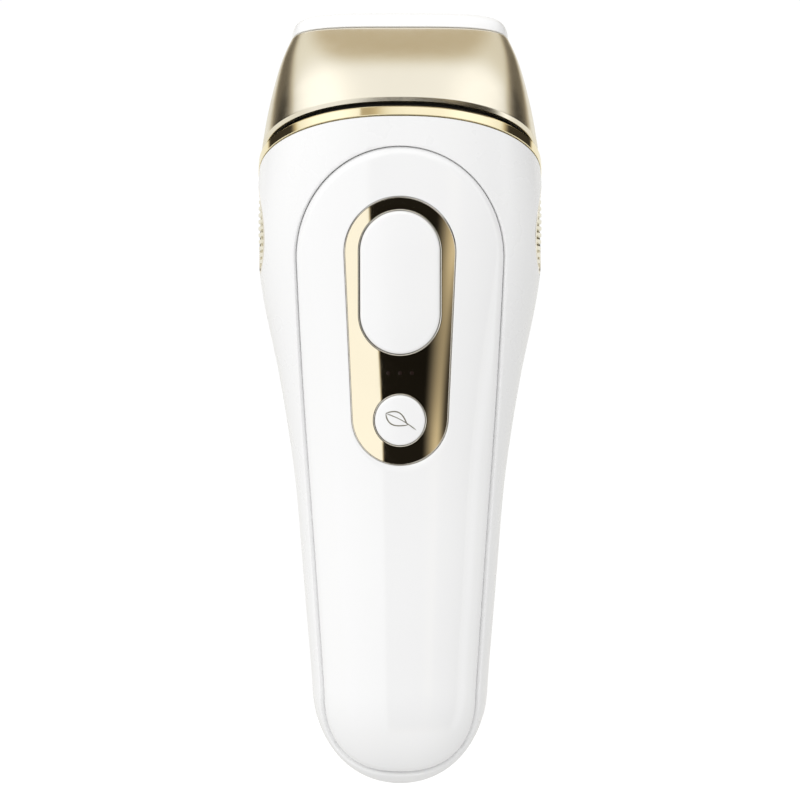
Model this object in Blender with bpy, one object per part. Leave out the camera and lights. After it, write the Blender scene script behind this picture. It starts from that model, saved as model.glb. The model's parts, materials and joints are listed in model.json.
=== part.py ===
"""Handheld IPL hair remover, upright, +Z up, front towards -Y, in metres.

The origin is at the middle of the hand grip, 48 mm above the lowest point.
Heights named below are measured up from the lowest point of the handle.
Run with: blender --background --python part.py
"""

import math

import bmesh
import bpy
from mathutils import Matrix, Vector

# Handle
GRIP_HEIGHT = 0.048
COLLAR_HEIGHT = 0.1333
FOOT_ROUNDING = 0.020
SECTION_POWER = 2.8
SHELL_WALL = 0.0026
GAP = 0.0003
TILT_START = 0.070
ACROSS_DEPTH = (0, 1, 0)
UPWARDS = (0, 0, 1)
# height, half width, front depth, back depth
HANDLE_STATIONS = (
    (0.000, 0.01840, 0.0122, 0.0113),
    (0.020, 0.01880, 0.0130, 0.0125),
    (0.033, 0.01980, 0.0138, 0.0136),
    (0.052, 0.02135, 0.0146, 0.0146),
    (0.065, 0.02250, 0.0154, 0.0146),
    (0.078, 0.02430, 0.0166, 0.0147),
    (0.091, 0.02650, 0.0182, 0.0154),
    (0.104, 0.02900, 0.0200, 0.0168),
    (0.114, 0.03035, 0.0213, 0.0184),
    (0.124, 0.03070, 0.0222, 0.0197),
    (COLLAR_HEIGHT, 0.03030, 0.0226, 0.0205),
)
# How far the collar's line sinks, along the head's axis, from its middle to its sides
COLLAR_BOW = 0.0038
RING_POINTS = 40
FOOT_RINGS = 6
HANDLE_RINGS = 11

# Front panel, a tombstone outline
PANEL_THICKNESS = 0.0013
PANEL_BOTTOM = 0.0022
PANEL_FOOT_TOP = 0.0200
PANEL_HEAD_START = 0.1125
PANEL_TOP = 0.1360
PANEL_FOOT_POWER = 2.4
# height, half width
PANEL_STATIONS = ((0.020, 0.0169), (0.050, 0.0189), (0.085, 0.0212), (PANEL_HEAD_START, 0.0224))

# Control plate and what it carries
PLATE_THICKNESS = 0.0016
PLATE_LOW = (0.0790, 0.0102)
PLATE_HIGH = (0.1137, 0.01175)
TRIGGER_HEIGHT = 0.1074
TRIGGER_SIZE = (0.0171, 0.0304)
TRIGGER_PROUD = 0.0008
BUTTON_TRAVEL = 0.0010
BUTTON_REST_GAP = BUTTON_TRAVEL + GAP
STEM_RADIUS = 0.0018
TRIGGER_MARGIN = 0.00035
MODE_MARGIN = 0.00030
MODE_HEIGHT = 0.0783
MODE_RADIUS = 0.0054
BUTTON_DEPTH = 0.0030
STATUS_HEIGHT = 0.0883
STATUS_PITCH = 0.0025
STATUS_RADIUS = 0.0006
STATUS_SUNK = 0.0002
STATUS_LENGTH = 0.0034

# Side vents
VENT_CENTRE = (-0.0035, 0.1194)
VENT_HALF_SIZE = (0.0085, 0.0100)
VENT_SLOTS = 7
VENT_SLOT_PITCH = 0.0026
VENT_SLOT_HEIGHT = 0.0013
VENT_BORDER = 0.0014
GRILLE_DEPTHS = (0.0004, 0.0020)

# Head, measured along its own axis from the collar plane
HEAD_TILT = math.radians(22)
HEAD_WALL = 0.0016
HEAD_BOTTOM = 0.0040
HEAD_TOP = 0.0279
# distance, half width, front depth, back depth, section power
HEAD_STATIONS = (
    (HEAD_BOTTOM, 0.02985, 0.0239, 0.0217, 2.8),
    (0.0105, 0.02880, 0.0222, 0.0200, 2.9),
    (0.0175, 0.02725, 0.0186, 0.0170, 3.1),
    (0.0230, 0.02570, 0.0145, 0.0138, 3.4),
    (HEAD_TOP, 0.02375, 0.0104, 0.0104, 3.8),
)
FRAME_TOP = 0.0325
WINDOW_SIZE = (0.0360, 0.0100)
SENSOR_OFFSET = 0.0014
SENSOR_RADIUS = 0.0008
NECK_INSET = 0.0046
NECK_WALL = 0.0016
NECK_BOTTOM = -0.0020
NECK_TOP = 0.0090
TRIM_BOTTOM = GAP
TRIM_TOP = 0.0025
SEAL_HEIGHT = 0.0004
SEAL_WIDTH = 0.0016
LATCH_SIZE = (0.0012, 0.0060, 0.0060)
LATCH_MIDDLE = 0.0045
LIP_DROP = 0.0004
LIP_SHOULDER = 0.0060
GUIDE_FLOOR = 0.0016
CAVITY_STEP = 0.0030
GUIDE_SIZE = (0.0376, 0.0130)
GUIDE_WALL = 0.0010
PLUG_DEPTH = 0.0030
DECK_HEIGHT = 0.0015

# Lamp and its housing
LAMP_RADIUS = 0.0023
LAMP_HALF_LENGTH = 0.0162
CAP_RADIUS = 0.0030
CAP_LENGTH = 0.0036
HOLDER_SIZE = (0.0380, 0.0160, 0.0170)
HOLDER_MIDDLE = -0.0015
HOLDER_WALL = 0.0016
HOLDER_FLOOR = 0.0020
REFLECTOR_LENGTH = 0.0290
REFLECTOR_HEIGHT = 0.0110
TROUGH_RADIUS = 0.0044
FILTER_SIZE = (0.0380, 0.0140)
FILTER_THICKNESS = 0.0012

# Fasteners, through the rear shell into bosses of the front shell
SCREW_PLACES = ((-0.0125, 0.030), (0.0125, 0.030), (-0.0190, 0.100), (0.0190, 0.100))
SCREW_SEAT = 0.0040

SCREW_HEAD_RADIUS = 0.0022
SCREW_HEAD_HEIGHT = 0.0016
SHANK_RADIUS = 0.0010
SHANK_LENGTH = 0.0106
SOCKET_RADIUS = 0.0010
SEAT_RADIUS = 0.0026
HOLE_RADIUS = 0.0013
FRONT_BOSS_RADIUS = 0.0028
REAR_BOSS_RADIUS = 0.0035
BOSS_LENGTH = 0.0240
BOSS_MIDDLE = 0.0126
BOSS_BURIED = 0.0006

# Boards behind the front panel
BOARD_FACE = -0.0096
BOARD_THICKNESS = 0.0016
CONTROL_BOARD_SIZE = (0.0200, 0.0520)
CONTROL_BOARD_HEIGHT = 0.0960
MAIN_BOARD_SIZE = (0.0180, 0.0460)
MAIN_BOARD_PLACE = (0, -0.0065, 0.0430)
SWITCH_SIDE = 0.0060
SWITCH_BODY = 0.0026
SWITCH_FACE = -0.0132
SWITCH_KNOB_RADIUS = 0.0016
SWITCH_KNOB_LENGTH = 0.0016

# Flash supply
CAPACITOR_RADIUS = 0.0065
CAPACITOR_LENGTH = 0.0360
CAPACITOR_PLACE = (0, 0.0026, 0.0450)
TRANSFORMER_PLACE = (0, 0.0040, 0.0800)
CORE_SIZE = (0.0150, 0.0070, 0.0140)
CORE_WINDOW = (0.0036, 0.0140, 0.0090)
CORE_WINDOW_OFFSET = 0.0040
WINDING_SIZE = (0.0110, 0.0132, 0.0084)
WINDING_HOLE = (0.0050, 0.0076, 0.0200)
COIL_RADIUS = 0.0030
COIL_LENGTH = 0.0110
COIL_PLACE = (-0.0130, 0.0050, 0.0800)

# Power inlet, low on the back
INLET_HEIGHT = 0.0180
INLET_RADIUS = 0.0040
INLET_WALL = 0.0014
INLET_FLOOR = 0.0015
INLET_LENGTH = 0.0100
PIN_RADIUS = 0.0008
PIN_LENGTH = 0.0070

# Cooling
FAN_PLACE = (0, 0.0030, 0.1020)
FAN_SIZE = (0.0200, 0.0200, 0.0080)
FAN_FLOOR = 0.0010
DUCT_RADIUS = 0.0090
HUB_RADIUS = 0.0036
HUB_LENGTH = 0.0060
FAN_BLADES = 7
BLADE_SIZE = (0.0056, 0.0008, 0.0054)
BLADE_PITCH = math.radians(32)
BLADE_REACH = 0.0056
ROTOR_LIFT = 0.0008
FAN_VENT_RADIUS = 0.0020
FAN_VENT_REACH = 0.0058
SINK_SIZE = (0.0250, 0.0200, 0.0100)
SINK_PLACE = (0, 0.0030, 0.1140)
SINK_GROOVES = 5
SINK_PITCH = 0.0048
SINK_GROOVE = (0.0024, 0.0400, 0.0080)
SINK_GROOVE_DROP = 0.0025

# From a lamp cap down to the main board: across, back, height
LEAD_RADIUS = 0.0006
LEAD_ROUTE = (
    (0.0212, 0.0000, 0.1333),
    (0.0212, -0.0030, 0.1260),
    (0.0200, -0.0020, 0.1215),
    (0.0165, -0.0005, 0.1170),
    (0.0145, 0.0002, 0.1120),
    (0.0143, 0.0002, 0.0960),
    (0.0125, -0.0020, 0.0840),
    (0.0085, -0.0045, 0.0740),
    (0.0070, -0.0065, 0.0680),
)


def clear_scene():
    for item in list(bpy.data.objects):
        bpy.data.objects.remove(item, do_unlink=True)


def new_collection(name, hidden=False):
    collection = bpy.data.collections.new(name)
    collection.hide_render = hidden
    bpy.context.scene.collection.children.link(collection)
    return collection


def material(name, colour, roughness, metallic=0.0):
    made = bpy.data.materials.get(name)
    if made is None:
        made = bpy.data.materials.new(name)
        made.use_nodes = True
        shader = made.node_tree.nodes["Principled BSDF"]
        shader.inputs["Base Color"].default_value = (*colour, 1.0)
        shader.inputs["Roughness"].default_value = roughness
        shader.inputs["Metallic"].default_value = metallic
    return made


def white_plastic():
    return material("gloss_white_plastic", (0.90, 0.90, 0.89), 0.18)


def champagne_metal():
    return material("satin_champagne", (0.78, 0.68, 0.50), 0.30, 1.0)


def mirror_metal():
    return material("mirror_gold", (0.86, 0.76, 0.60), 0.06, 1.0)


def black_plastic():
    return material("black_plastic", (0.02, 0.02, 0.02), 0.45)


def steel():
    return material("steel", (0.60, 0.60, 0.60), 0.30, 1.0)


def glass():
    return material("glass", (0.85, 0.90, 0.92), 0.05)


def board_green():
    return material("circuit_board", (0.03, 0.22, 0.10), 0.55)


def at(x, y, height):
    """A point from its height above the lowest point of the handle."""
    return Vector((x, y, height - GRIP_HEIGHT))


def smooth(stations, place, column):
    """The stations' value at a place, on a smooth curve through them."""
    places = [row[0] for row in stations]
    values = [row[column] for row in stations]
    last = len(places) - 1
    k = max(0, min(last - 1, sum(place >= other for other in places[1:-1])))

    def slope(i):
        low, high = max(0, i - 1), min(last, i + 1)
        return (values[high] - values[low]) / (places[high] - places[low])

    step = places[k + 1] - places[k]
    t = (place - places[k]) / step
    return (
        values[k] * (1 + 2 * t) * (1 - t) ** 2
        + slope(k) * step * t * (1 - t) ** 2
        + values[k + 1] * t * t * (3 - 2 * t)
        - slope(k + 1) * step * t * t * (1 - t)
    )


def rounded_ring(half_width, front, back, power, count=RING_POINTS):
    """Points round a superellipse whose front and back depths differ."""
    ring = []
    for i in range(count):
        angle = 2 * math.pi * i / count
        c, s = math.cos(angle), math.sin(angle)
        depth = back if s > 0 else front
        x = half_width * math.copysign(abs(c) ** (2 / power), c)
        y = depth * math.copysign(abs(s) ** (2 / power), s)
        ring.append((x, y))
    return ring


def mesh_object(name, bm, finish, collection, parent=None):
    mesh = bpy.data.meshes.new(name)
    bm.to_mesh(mesh)
    bm.free()
    mesh.shade_smooth()
    mesh.set_sharp_from_angle(angle=math.radians(35))
    made = bpy.data.objects.new(name, mesh)
    if finish is not None:
        mesh.materials.append(finish)
    collection.objects.link(made)
    made.parent = parent
    if collection.hide_render:
        made.hide_render = True
        made.display_type = "WIRE"
    return made


def loft(name, rings, finish, collection, parent=None, closed_loop=False):
    """A skin over rings of equal point counts, capped, or joined end to start."""
    bm = bmesh.new()
    rows = [[bm.verts.new(point) for point in ring] for ring in rings]
    count = len(rows[0])
    pairs = list(zip(rows, rows[1:]))
    if closed_loop:
        pairs.append((rows[-1], rows[0]))
    for lower, upper in pairs:
        for i in range(count):
            j = (i + 1) % count
            bm.faces.new((lower[i], lower[j], upper[j], upper[i]))
    if not closed_loop:
        bm.faces.new(list(reversed(rows[0])))
        bm.faces.new(rows[-1])
    bmesh.ops.recalc_face_normals(bm, faces=bm.faces)
    return mesh_object(name, bm, finish, collection, parent)


def tilt_share(height):
    """How much of the collar's shape a handle ring has: none in the grip, all at the collar."""
    t = max(0.0, min(1.0, (height - TILT_START) / (COLLAR_HEIGHT - TILT_START)))
    return t * t * (3 - 2 * t)


def collar_drop(x, share):
    """How far a point sinks along the head's axis, so that the collar's line bows down to its sides."""
    return COLLAR_BOW * share * (x / HANDLE_STATIONS[-1][1]) ** 2


def handle_ring(height, inset):
    reach = min(1.0, max(0.0, (FOOT_ROUNDING - height) / (FOOT_ROUNDING - inset)))
    swell = max(1 - reach * reach, 1e-4) ** 0.48
    sizes = [(smooth(HANDLE_STATIONS, height, k) - inset) * swell for k in (1, 2, 3)]
    share = tilt_share(height)
    points = []
    for x, y in rounded_ring(*sizes, SECTION_POWER):
        drop = collar_drop(x, share)
        lean = y * share * math.tan(HEAD_TILT)
        points.append(at(x, y - drop * math.sin(HEAD_TILT), height - lean - drop * math.cos(HEAD_TILT)))
    return points


def handle_rings(inset):
    """Rings from the rounded foot to the collar, of the handle's surface moved inwards."""
    rings = []
    for i in range(FOOT_RINGS):
        angle = 0.5 * math.pi * (i + 0.5) / (FOOT_RINGS - 0.5)
        foot = inset + (FOOT_ROUNDING - inset) * (1 - math.cos(angle * 0.999))
        rings.append(handle_ring(foot, inset))
    rise = (COLLAR_HEIGHT - FOOT_ROUNDING) / (HANDLE_RINGS - 1)
    for i in range(1, HANDLE_RINGS):
        rings.append(handle_ring(FOOT_ROUNDING + rise * i, inset))
    return rings


def handle_cup(name, outer, inner, finish, collection):
    """A wall between two insets of the handle's surface, open at the collar."""
    return loft(name, handle_rings(outer) + handle_rings(inner)[::-1], finish, collection)


def handle_core(name, inset, collection):
    return loft(name, handle_rings(inset), None, collection)


def box(name, size, centre, finish, collection, parent=None):
    bm = bmesh.new()
    bmesh.ops.create_cube(bm, size=1.0)
    bmesh.ops.scale(bm, vec=Vector(size), verts=bm.verts)
    made = mesh_object(name, bm, finish, collection, parent)
    made.location = centre
    return made


def cylinder(name, radius, length, centre, axis, finish, collection, parent=None, sides=24):
    bm = bmesh.new()
    bmesh.ops.create_cone(
        bm, cap_ends=True, segments=sides, radius1=radius, radius2=radius, depth=length
    )
    turn = Vector((0, 0, 1)).rotation_difference(Vector(axis)).to_matrix()
    bmesh.ops.rotate(bm, matrix=turn, cent=(0, 0, 0), verts=bm.verts)
    made = mesh_object(name, bm, finish, collection, parent)
    made.location = centre
    return made


def outline_prism(name, outline, low, high, finish, collection):
    """A flat outline of (x, height) points, run along Y from low to high."""
    rings = [[at(x, y, height) for x, height in outline] for y in (low, high)]
    return loft(name, rings, finish, collection)


def boolean(target, other, operation):
    modifier = target.modifiers.new(other.name, "BOOLEAN")
    modifier.object = other
    modifier.operation = operation
    return target


def cut(target, other):
    return boolean(target, other, "DIFFERENCE")


def keep(target, other):
    return boolean(target, other, "INTERSECT")


def join(target, other):
    return boolean(target, other, "UNION")


def panel_outline(margin, points=14):
    """The tombstone outline as (x, height) points, grown by a margin."""
    right = []
    for i in range(points):
        angle = 0.5 * math.pi * i / points
        x = math.sin(angle) ** (2 / PANEL_FOOT_POWER)
        z = math.cos(angle) ** (2 / PANEL_FOOT_POWER)
        half = PANEL_STATIONS[0][1] + margin
        drop = PANEL_FOOT_TOP - PANEL_BOTTOM + margin
        right.append((x * half, PANEL_FOOT_TOP - z * drop))
    steps = 8
    for i in range(steps):
        height = PANEL_FOOT_TOP + (PANEL_HEAD_START - PANEL_FOOT_TOP) * i / steps
        right.append((smooth(PANEL_STATIONS, height, 1) + margin, height))
    for i in range(points + 1):
        angle = 0.5 * math.pi * i / points
        half = PANEL_STATIONS[-1][1] + margin
        rise = PANEL_TOP - PANEL_HEAD_START + margin
        right.append((math.cos(angle) * half, PANEL_HEAD_START + math.sin(angle) * rise))
    left = [(-x, z) for x, z in right[-2:0:-1]]
    return right + left


def pill_outline(low, high, margin=0.0, points=12):
    """Two round ends joined by straight tangents: each end is (height, radius)."""
    lean = math.asin((high[1] - low[1]) / (high[0] - low[0]))
    outline = []
    for (height, radius), start, sweep in (
        (high, -lean, math.pi + 2 * lean),
        (low, math.pi + lean, math.pi - 2 * lean),
    ):
        for i in range(points + 1):
            angle = start + sweep * i / points
            reach = radius + margin
            outline.append((reach * math.cos(angle), height + reach * math.sin(angle)))
    return outline


def plate_outline(margin):
    return pill_outline(PLATE_LOW, PLATE_HIGH, margin)


def trigger_outline(margin):
    radius = TRIGGER_SIZE[0] / 2
    offset = TRIGGER_SIZE[1] / 2 - radius
    ends = (TRIGGER_HEIGHT - offset, radius), (TRIGGER_HEIGHT + offset, radius)
    return pill_outline(*ends, margin)


def mode_outline(margin, points=32):
    reach = MODE_RADIUS + margin
    turns = [2 * math.pi * i / points for i in range(points)]
    return [(reach * math.cos(t), MODE_HEIGHT + reach * math.sin(t)) for t in turns]


def front_cutter(name, outline, cutters):
    return outline_prism(name, outline, -0.040, -0.0002, None, cutters)


def vent_cutter(name, side, margin, cutters, points=28):
    """An oval prism that runs out through one side of the handle."""
    middle_y, middle_z = VENT_CENTRE
    rings = []
    for x in (0.020 * side, 0.040 * side):
        ring = []
        for i in range(points):
            angle = 2 * math.pi * i / points
            y = middle_y + (VENT_HALF_SIZE[0] + margin) * math.cos(angle)
            z = middle_z + (VENT_HALF_SIZE[1] + margin) * math.sin(angle)
            ring.append(at(x, y, z))
        rings.append(ring)
    return loft(name, rings, None, cutters)


def build_shells(parts, cutters):
    white = white_plastic()
    half = (0.1, 0.1, 0.4)
    behind = box("cut_behind", half, (0, 0.05 - GAP / 2, 0), None, cutters)
    ahead = box("cut_ahead", half, (0, -0.05 + GAP / 2, 0), None, cutters)
    vents = [vent_cutter(f"cut_vent_{side:+.0f}", side, 0, cutters) for side in (-1, 1)]

    pocket = handle_cup("cut_panel_pocket", -0.0010, PANEL_THICKNESS + GAP, None, cutters)
    keep(pocket, front_cutter("cut_panel_outline", panel_outline(GAP), cutters))
    plate_pocket = handle_cup("cut_plate_pocket", -0.0010, PLATE_THICKNESS + GAP, None, cutters)
    keep(plate_pocket, front_cutter("cut_plate_outline", plate_outline(GAP), cutters))
    trigger_hole = front_cutter("cut_trigger_hole", trigger_outline(GAP), cutters)
    mode_hole = front_cutter("cut_mode_hole", mode_outline(GAP), cutters)

    front = handle_cup("front_shell", 0.0, SHELL_WALL, white, parts)
    cut(front, behind)
    for cutter in (pocket, plate_pocket, trigger_hole, mode_hole, *vents):
        cut(front, cutter)
    add_front_bosses(front, cutters)

    rear = handle_cup("rear_shell", 0.0, SHELL_WALL, white, parts)
    cut(rear, ahead)
    for cutter in vents:
        cut(rear, cutter)
    add_rear_bosses(rear, cutters)
    hole = cylinder(
        "cut_inlet_hole", INLET_RADIUS + GAP, 0.020, at(0, 0.010, INLET_HEIGHT), ACROSS_DEPTH, None,
        cutters
    )
    cut(rear, hole)

    panel = handle_cup("front_panel", 0.0, PANEL_THICKNESS, white, parts)
    keep(panel, front_cutter("keep_panel", panel_outline(0), cutters))
    cut(panel, front_cutter("cut_panel_window", plate_outline(GAP), cutters))

    plate = handle_cup("control_plate", -0.0001, PLATE_THICKNESS, mirror_metal(), parts)
    keep(plate, front_cutter("keep_plate", plate_outline(0), cutters))
    for cutter in (trigger_hole, mode_hole):
        cut(plate, cutter)
    for place in status_places():
        pipe = cylinder(
            f"cut_{place[0]}", STATUS_RADIUS + GAP, 0.030, at(place[1], -0.025, STATUS_HEIGHT),
            ACROSS_DEPTH, None, cutters, sides=12
        )
        cut(plate, pipe)
        cut(front, pipe)


def add_front_bosses(front, cutters):
    core = handle_core("keep_boss_core", SHELL_WALL - BOSS_BURIED, cutters)
    for i, (x, height) in enumerate(SCREW_PLACES):
        boss = cylinder(
            f"join_front_boss_{i + 1}", FRONT_BOSS_RADIUS, BOSS_LENGTH, at(x, -BOSS_MIDDLE, height),
            ACROSS_DEPTH, None, cutters
        )
        keep(boss, core)
        join(front, boss)
        pilot = cylinder(
            f"cut_pilot_{i + 1}", HOLE_RADIUS, 0.0070, at(x, -0.0034, height), ACROSS_DEPTH, None, cutters,
            sides=16
        )
        cut(front, pilot)


def add_rear_bosses(rear, cutters):
    core = handle_core("keep_rear_core", SHELL_WALL - BOSS_BURIED, cutters)
    for i, (x, height) in enumerate(SCREW_PLACES):
        boss = cylinder(
            f"join_rear_boss_{i + 1}", REAR_BOSS_RADIUS, BOSS_LENGTH, at(x, BOSS_MIDDLE, height),
            ACROSS_DEPTH, None, cutters
        )
        keep(boss, core)
        join(rear, boss)
        seat = cylinder(
            f"cut_seat_{i + 1}", SEAT_RADIUS, 0.0260, at(x, SCREW_SEAT + 0.0130, height), ACROSS_DEPTH, None,
            cutters
        )
        hole = cylinder(
            f"cut_screw_hole_{i + 1}", HOLE_RADIUS, 0.0120, at(x, 0, height), ACROSS_DEPTH, None, cutters,
            sides=16
        )
        cut(rear, seat)
        cut(rear, hole)


def build_vents(parts, cutters):
    slots = []
    for i in range(VENT_SLOTS):
        offset = (i - (VENT_SLOTS - 1) / 2) * VENT_SLOT_PITCH
        reach = math.sqrt(1 - (offset / VENT_HALF_SIZE[1]) ** 2) * VENT_HALF_SIZE[0] - VENT_BORDER
        slots.append((offset, reach))
    for name, side in (("left_vent_grille", -1), ("right_vent_grille", 1)):
        grille = handle_cup(name, *GRILLE_DEPTHS, champagne_metal(), parts)
        keep(grille, vent_cutter(f"keep_{name}", side, -GAP, cutters))
        for i, (offset, reach) in enumerate(slots):
            slot = box(
                f"cut_{name}_{i + 1}",
                (0.030, 2 * reach, VENT_SLOT_HEIGHT),
                at(0.030 * side, VENT_CENTRE[0], VENT_CENTRE[1] + offset),
                None,
                cutters,
            )
            cut(grille, slot)


def status_places():
    return [(f"status_light_{i + 1}", (i - 1) * STATUS_PITCH) for i in range(3)]


def front_depth(height):
    """How far the front surface stands before the origin's plane at a world height, on the middle line."""
    low, high = 0.0, COLLAR_HEIGHT
    for _ in range(40):
        middle = (low + high) / 2
        depth = smooth(HANDLE_STATIONS, middle, 2)
        if middle + depth * tilt_share(middle) * math.tan(HEAD_TILT) < height:
            low = middle
        else:
            high = middle
    return smooth(HANDLE_STATIONS, low, 2)


def build_button(name, outline, height, outline_margin, parts, cutters):
    """A crowned cap that follows the handle's front, on a stem that reaches its switch."""
    axis = bpy.data.objects.new(name + "_axis", None)
    parts.objects.link(axis)
    axis.location = at(0, -front_depth(height), height)
    cap = handle_cup(name, -TRIGGER_PROUD, BUTTON_DEPTH - TRIGGER_PROUD, white_plastic(), parts)
    keep(cap, front_cutter(f"keep_{name}", outline(-outline_margin), cutters))
    cap.data.transform(Matrix.Translation(-axis.location))
    cap.parent = axis
    stem_end = SWITCH_FACE - BUTTON_REST_GAP
    start = -front_depth(height) + 0.0012
    stem = cylinder(
        f"join_{name}_stem", STEM_RADIUS, stem_end - start, at(0, (start + stem_end) / 2, height),
        ACROSS_DEPTH, None, cutters, sides=16
    )
    return join(cap, stem)


def neck_axis(name, parts):
    """An empty at the middle of the collar plane, its Z along the head's axis."""
    axis = bpy.data.objects.new(name, None)
    parts.objects.link(axis)
    axis.location = at(0, 0, COLLAR_HEIGHT)
    axis.rotation_euler = (-HEAD_TILT, 0, 0)
    return axis


def head_size(distance, inset):
    """Half width, front depth, back depth and section power of the head's skin, moved inwards."""
    sizes = [smooth(HEAD_STATIONS, distance, k) - inset for k in (1, 2, 3)]
    return (*sizes, smooth(HEAD_STATIONS, distance, 4))


def neck_size(inset):
    """The collar plane's outline, moved inwards."""
    _, half, front, back = HANDLE_STATIONS[-1]
    lean = math.cos(HEAD_TILT)
    return half - inset, front / lean - inset, back / lean - inset, SECTION_POWER


def axis_ring(distance, section):
    """A ring round the head's axis, which bows like the collar where it is near it."""
    share = 1 - min(1.0, max(0.0, distance / HEAD_TOP))
    return [(x, y, distance - collar_drop(x, share)) for x, y in rounded_ring(*section)]


def sleeve(name, outer, inner, finish, collection, parent):
    """A tube from (distance, section) rows up the outside and back down the inside."""
    rings = [axis_ring(*row) for row in (*outer, *reversed(inner))]
    return loft(name, rings, finish, collection, parent, closed_loop=True)


def slot_prism(name, size, low, high, collection, parent, finish=None, corner=0.0015):
    """A rounded rectangle run along the head's axis."""
    half_x, half_y = size[0] / 2 - corner, size[1] / 2 - corner
    rings = []
    for distance in (low, high):
        ring = []
        for i in range(16):
            angle = 2 * math.pi * (i + 0.5) / 16
            c, s = math.cos(angle), math.sin(angle)
            ring.append((
                math.copysign(half_x, c) + corner * c, math.copysign(half_y, s) + corner * s, distance
            ))
        rings.append(ring)
    return loft(name, rings, finish, collection, parent)


def build_neck(parts, cutters, neck):
    trim_rows = [
        (TRIM_BOTTOM, neck_size(0.0)),
        (TRIM_BOTTOM + 0.0004, neck_size(-0.0002)),
        (TRIM_TOP - 0.0004, neck_size(-0.0001)),
        (TRIM_TOP, neck_size(0.0004)),
    ]
    bore = [(row[0], neck_size(NECK_INSET - GAP)) for row in trim_rows]
    sleeve("collar_ring", trim_rows, bore, mirror_metal(), parts, neck)

    deck_top = NECK_BOTTOM + DECK_HEIGHT
    outside, inside = neck_size(NECK_INSET), neck_size(NECK_INSET + NECK_WALL)
    rings = [axis_ring(distance, outside) for distance in (NECK_BOTTOM, deck_top, NECK_TOP)]
    rings += [axis_ring(distance, inside) for distance in (NECK_TOP, deck_top)]
    ring = loft("neck_ring", rings, black_plastic(), parts, neck)
    opening = slot_prism("cut_deck", (0.0450, HOLDER_SIZE[1] + 2 * GAP), -0.010, 0.002, cutters, neck)
    cut(ring, opening)

    places = (TRIM_TOP + GAP, TRIM_TOP + GAP + SEAL_HEIGHT)
    rows = [(place, neck_size(NECK_INSET - SEAL_WIDTH)) for place in places]
    hole = [(place, neck_size(NECK_INSET - GAP)) for place in places]
    sleeve("neck_seal", rows, hole, material("black_rubber", (0.015, 0.015, 0.015), 0.7), parts, neck)

    for name, side in (("left_head_latch", -1), ("right_head_latch", 1)):
        x = side * (inside[0] - LATCH_SIZE[0])
        box(name, LATCH_SIZE, (x, 0, LATCH_MIDDLE), steel(), parts, neck)


def build_head(parts, cutters, head):
    steps = 7
    places = [HEAD_BOTTOM + (HEAD_TOP - HEAD_BOTTOM) * i / (steps - 1) for i in range(steps)]
    outer = [(p, head_size(p, 0)) for p in places]
    inner = [(p, head_size(p, HEAD_WALL)) for p in places]
    sleeve("head_shell", outer, inner, champagne_metal(), parts, head)

    lip = HEAD_BOTTOM - LIP_DROP
    floor_low, floor_high = NECK_TOP + GAP, NECK_TOP + GUIDE_FLOOR
    rings = [
        axis_ring(place, head_size(max(place, HEAD_BOTTOM), HEAD_WALL + GAP))
        for place in (floor_high, LIP_SHOULDER, lip)
    ]
    rings += [axis_ring(place, neck_size(NECK_INSET - GAP)) for place in (lip, floor_low)]
    rings.append(axis_ring(floor_low, neck_size(NECK_INSET + CAVITY_STEP)))
    frame = loft("head_inner_frame", rings, black_plastic(), parts, head)
    cut(frame, slot_prism("cut_frame_floor", (0.0400, 0.0146), 0.002, 0.014, cutters, head))

    build_light_guide(parts, cutters, head)
    build_window(parts, cutters, head)


def build_light_guide(parts, cutters, head):
    low, high = NECK_TOP + GUIDE_FLOOR + 2 * GAP, HEAD_TOP - PLUG_DEPTH - GAP
    guide = slot_prism("light_guide", GUIDE_SIZE, low, high, parts, head, mirror_metal(), corner=0.0020)
    bore = (GUIDE_SIZE[0] - 2 * GUIDE_WALL, GUIDE_SIZE[1] - 2 * GUIDE_WALL)
    cut(guide, slot_prism("cut_guide", bore, low - 0.001, high + 0.001, cutters, head))


def build_window(parts, cutters, head):
    plug = HEAD_WALL + GAP
    rows = [
        (HEAD_TOP - PLUG_DEPTH, head_size(HEAD_TOP, plug + 0.0002)),
        (HEAD_TOP + GAP, head_size(HEAD_TOP, plug)),
        (HEAD_TOP + GAP + 0.00001, head_size(HEAD_TOP, 0.0002)),
        (HEAD_TOP + 0.0018, head_size(HEAD_TOP, 0.0005)),
        (HEAD_TOP + 0.0031, head_size(HEAD_TOP, 0.0013)),
        (HEAD_TOP + 0.0040, head_size(HEAD_TOP, 0.0022)),
        (FRAME_TOP, head_size(HEAD_TOP, 0.0032)),
    ]
    frame = loft("window_frame", [axis_ring(*row) for row in rows], white_plastic(), parts, head)
    cut(frame, slot_prism("cut_window", WINDOW_SIZE, 0.020, 0.040, cutters, head))
    sensor_x = WINDOW_SIZE[0] / 2 + SENSOR_OFFSET
    place = (sensor_x, 0, FRAME_TOP - 0.0023)
    hole = cylinder("cut_sensor", SENSOR_RADIUS + GAP, 0.030, place, UPWARDS, None, cutters, head, sides=16)
    cut(frame, hole)
    cylinder("skin_sensor", SENSOR_RADIUS, 0.0040, place, UPWARDS, glass(), parts, head, sides=16)
    pane = (WINDOW_SIZE[0] - 2 * GAP, WINDOW_SIZE[1] - 2 * GAP)
    slot_prism("window_glass", pane, FRAME_TOP - 0.0026, FRAME_TOP - 0.0010, parts, head, glass(), 0.0013)


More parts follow.
